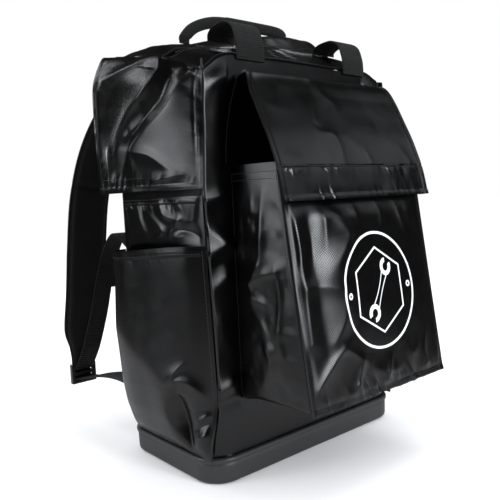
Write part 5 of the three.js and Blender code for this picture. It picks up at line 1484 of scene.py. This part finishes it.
# Soft boxes: name, place and target in metres, width, height and power in watts.
LAMPS = [
    ("left_soft_box", (-2.0, 0.75, 0.75), (0.0, 0.0, 0.28), 0.7, 1.0, 17),
    ("far_soft_box", (-1.0, 1.7, 1.7), (0.0, 0.0, 0.35), 0.5, 0.3, 4),
    ("front_soft_box", (0.3, -2.3, 0.75), (0.05, -0.1, 0.25), 1.0, 1.3, 14),
    ("front_bright_box", (0.26, -2.2, 0.8), (0.05, -0.1, 0.25), 0.4, 0.8, 22),
    ("top_soft_box", (0.6, -0.2, 2.2), (0.0, 0.0, 0.3), 1.0, 1.0, 10),
    ("right_soft_box", (1.7, -1.5, 1.5), (0.0, 0.0, 0.3), 1.0, 0.7, 3),
    ("back_soft_box", (0.1, 2.3, 0.9), (0.0, 0.0, 0.28), 1.0, 0.9, 12),
    ("rim_soft_box", (1.5, 1.5, 1.3), (0.0, 0.0, 0.45), 0.5, 0.3, 1.5),
]


def linked(name, data):
    """A new object in the scene."""
    made = bpy.data.objects.new(name, data)
    bpy.context.scene.collection.objects.link(made)
    return made


def set_camera():
    """The camera, turned by its yaw, pitch and roll."""
    yaw, pitch, roll = (math.radians(angle) for angle in (YAW, PITCH, ROLL))
    ahead = math.cos(pitch)
    forward = np.array([math.sin(yaw) * ahead, math.cos(yaw) * ahead, -math.sin(pitch)])
    level = np.array([math.cos(yaw), -math.sin(yaw), 0])
    above = np.cross(level, forward)
    right = level * math.cos(roll) + above * math.sin(roll)
    up = -level * math.sin(roll) + above * math.cos(roll)
    camera = bpy.data.cameras.new("camera")
    camera.lens, camera.sensor_width = LENS, SENSOR
    camera.clip_end = 50
    eye = linked("camera", camera)
    eye.matrix_world = Matrix([*np.stack([right, up, -forward, EYE], -1).tolist(), (0, 0, 0, 1)])
    bpy.context.scene.camera = eye


def set_floor():
    """White paper. Glossy rays see a plain surface that fades away from the part instead."""
    mesh = bpy.data.meshes.new("floor")
    corners = [(x * FLOOR_HALF, y * FLOOR_HALF, 0) for x, y in ((-1, -1), (1, -1), (1, 1), (-1, 1))]
    mesh.from_pydata(corners, [], [(0, 1, 2, 3)])
    floor = linked("floor", mesh)
    paper = Finish("floor_paper", Roughness=0.9, Specular_IOR_Level=0)
    paper.set({"Base Color": (0.9, 0.9, 0.91, 1)})
    tree = paper.tree
    place = add_node(tree, "TexCoord", {}).outputs["Object"]
    distance = add_node(tree, "VectorMath", {0: place}, "LENGTH").outputs["Value"]
    colour = tint(tree, ramp(tree, distance, 1.0, 0.0, (0.35, 1.0)), (0.03, 0.03, 0.03), (0.5, 0.5, 0.51))
    dim = add_node(tree, "BsdfDiffuse", {"Color": colour}).outputs[0]
    glossy = add_node(tree, "LightPath", {}).outputs["Is Glossy Ray"]
    bright = tree.nodes["Principled BSDF"].outputs[0]
    mix = add_node(tree, "MixShader", {"Fac": glossy, 1: bright, 2: dim}).outputs[0]
    set_inputs(tree, tree.nodes["Material Output"], {"Surface": mix})
    mesh.materials.append(paper.made)


def set_lamps():
    """Large soft boxes, each turned to its target."""
    for name, place, target, width, height, power in LAMPS:
        lamp = bpy.data.lights.new(name, "AREA")
        lamp.shape = "RECTANGLE"
        lamp.size, lamp.size_y = width, height
        lamp.energy = power
        lamp.color = LAMP_COLOUR
        look = (np.array(target) - np.array(place)).tolist()
        turn = Vector(look).to_track_quat("-Z", "Y").to_matrix().to_4x4()
        linked(name, lamp).matrix_world = Matrix.Translation(place) @ turn


def set_world():
    """White surroundings: 0.03 as bright to glossy rays, and 1.15 times to diffuse ones."""
    world = bpy.data.worlds.new("studio")
    world.use_nodes = True
    bpy.context.scene.world = world
    tree = world.node_tree
    path = add_node(tree, "LightPath", {})
    room = worked(tree, "MULTIPLY", path.outputs["Is Glossy Ray"], -0.97)
    fill = worked(tree, "MULTIPLY", path.outputs["Is Diffuse Ray"], 0.15)
    strength = worked(tree, "ADD", worked(tree, "ADD", room, fill), 1.0)
    sky = {"Color": (1.0, 1.0, 1.0, 1), "Strength": strength}
    set_inputs(tree, tree.nodes["Background"], sky)
    bpy.context.scene.view_settings.view_transform = "Standard"


set_camera()
set_floor()
set_lamps()
set_world()
tray()
bag_body()
top_panels()
zipper()
flap_yoke()
pocket_gusset()
emblem(pocket_panel())
front_flap()
for word, side in (("right", -1), ("left", 1)):
    low_pocket(word, side)
    high_pocket(word, side)
    side_flap(word, side)
    corner_piping(word, side)
    shoulder_pad(word, side)
    straps(word, side)
    buckle_turn(word, side)
    chest_strap(word, side)
    lifting_loop(word)
grab_handle()
back_panel()
dress_hardware()
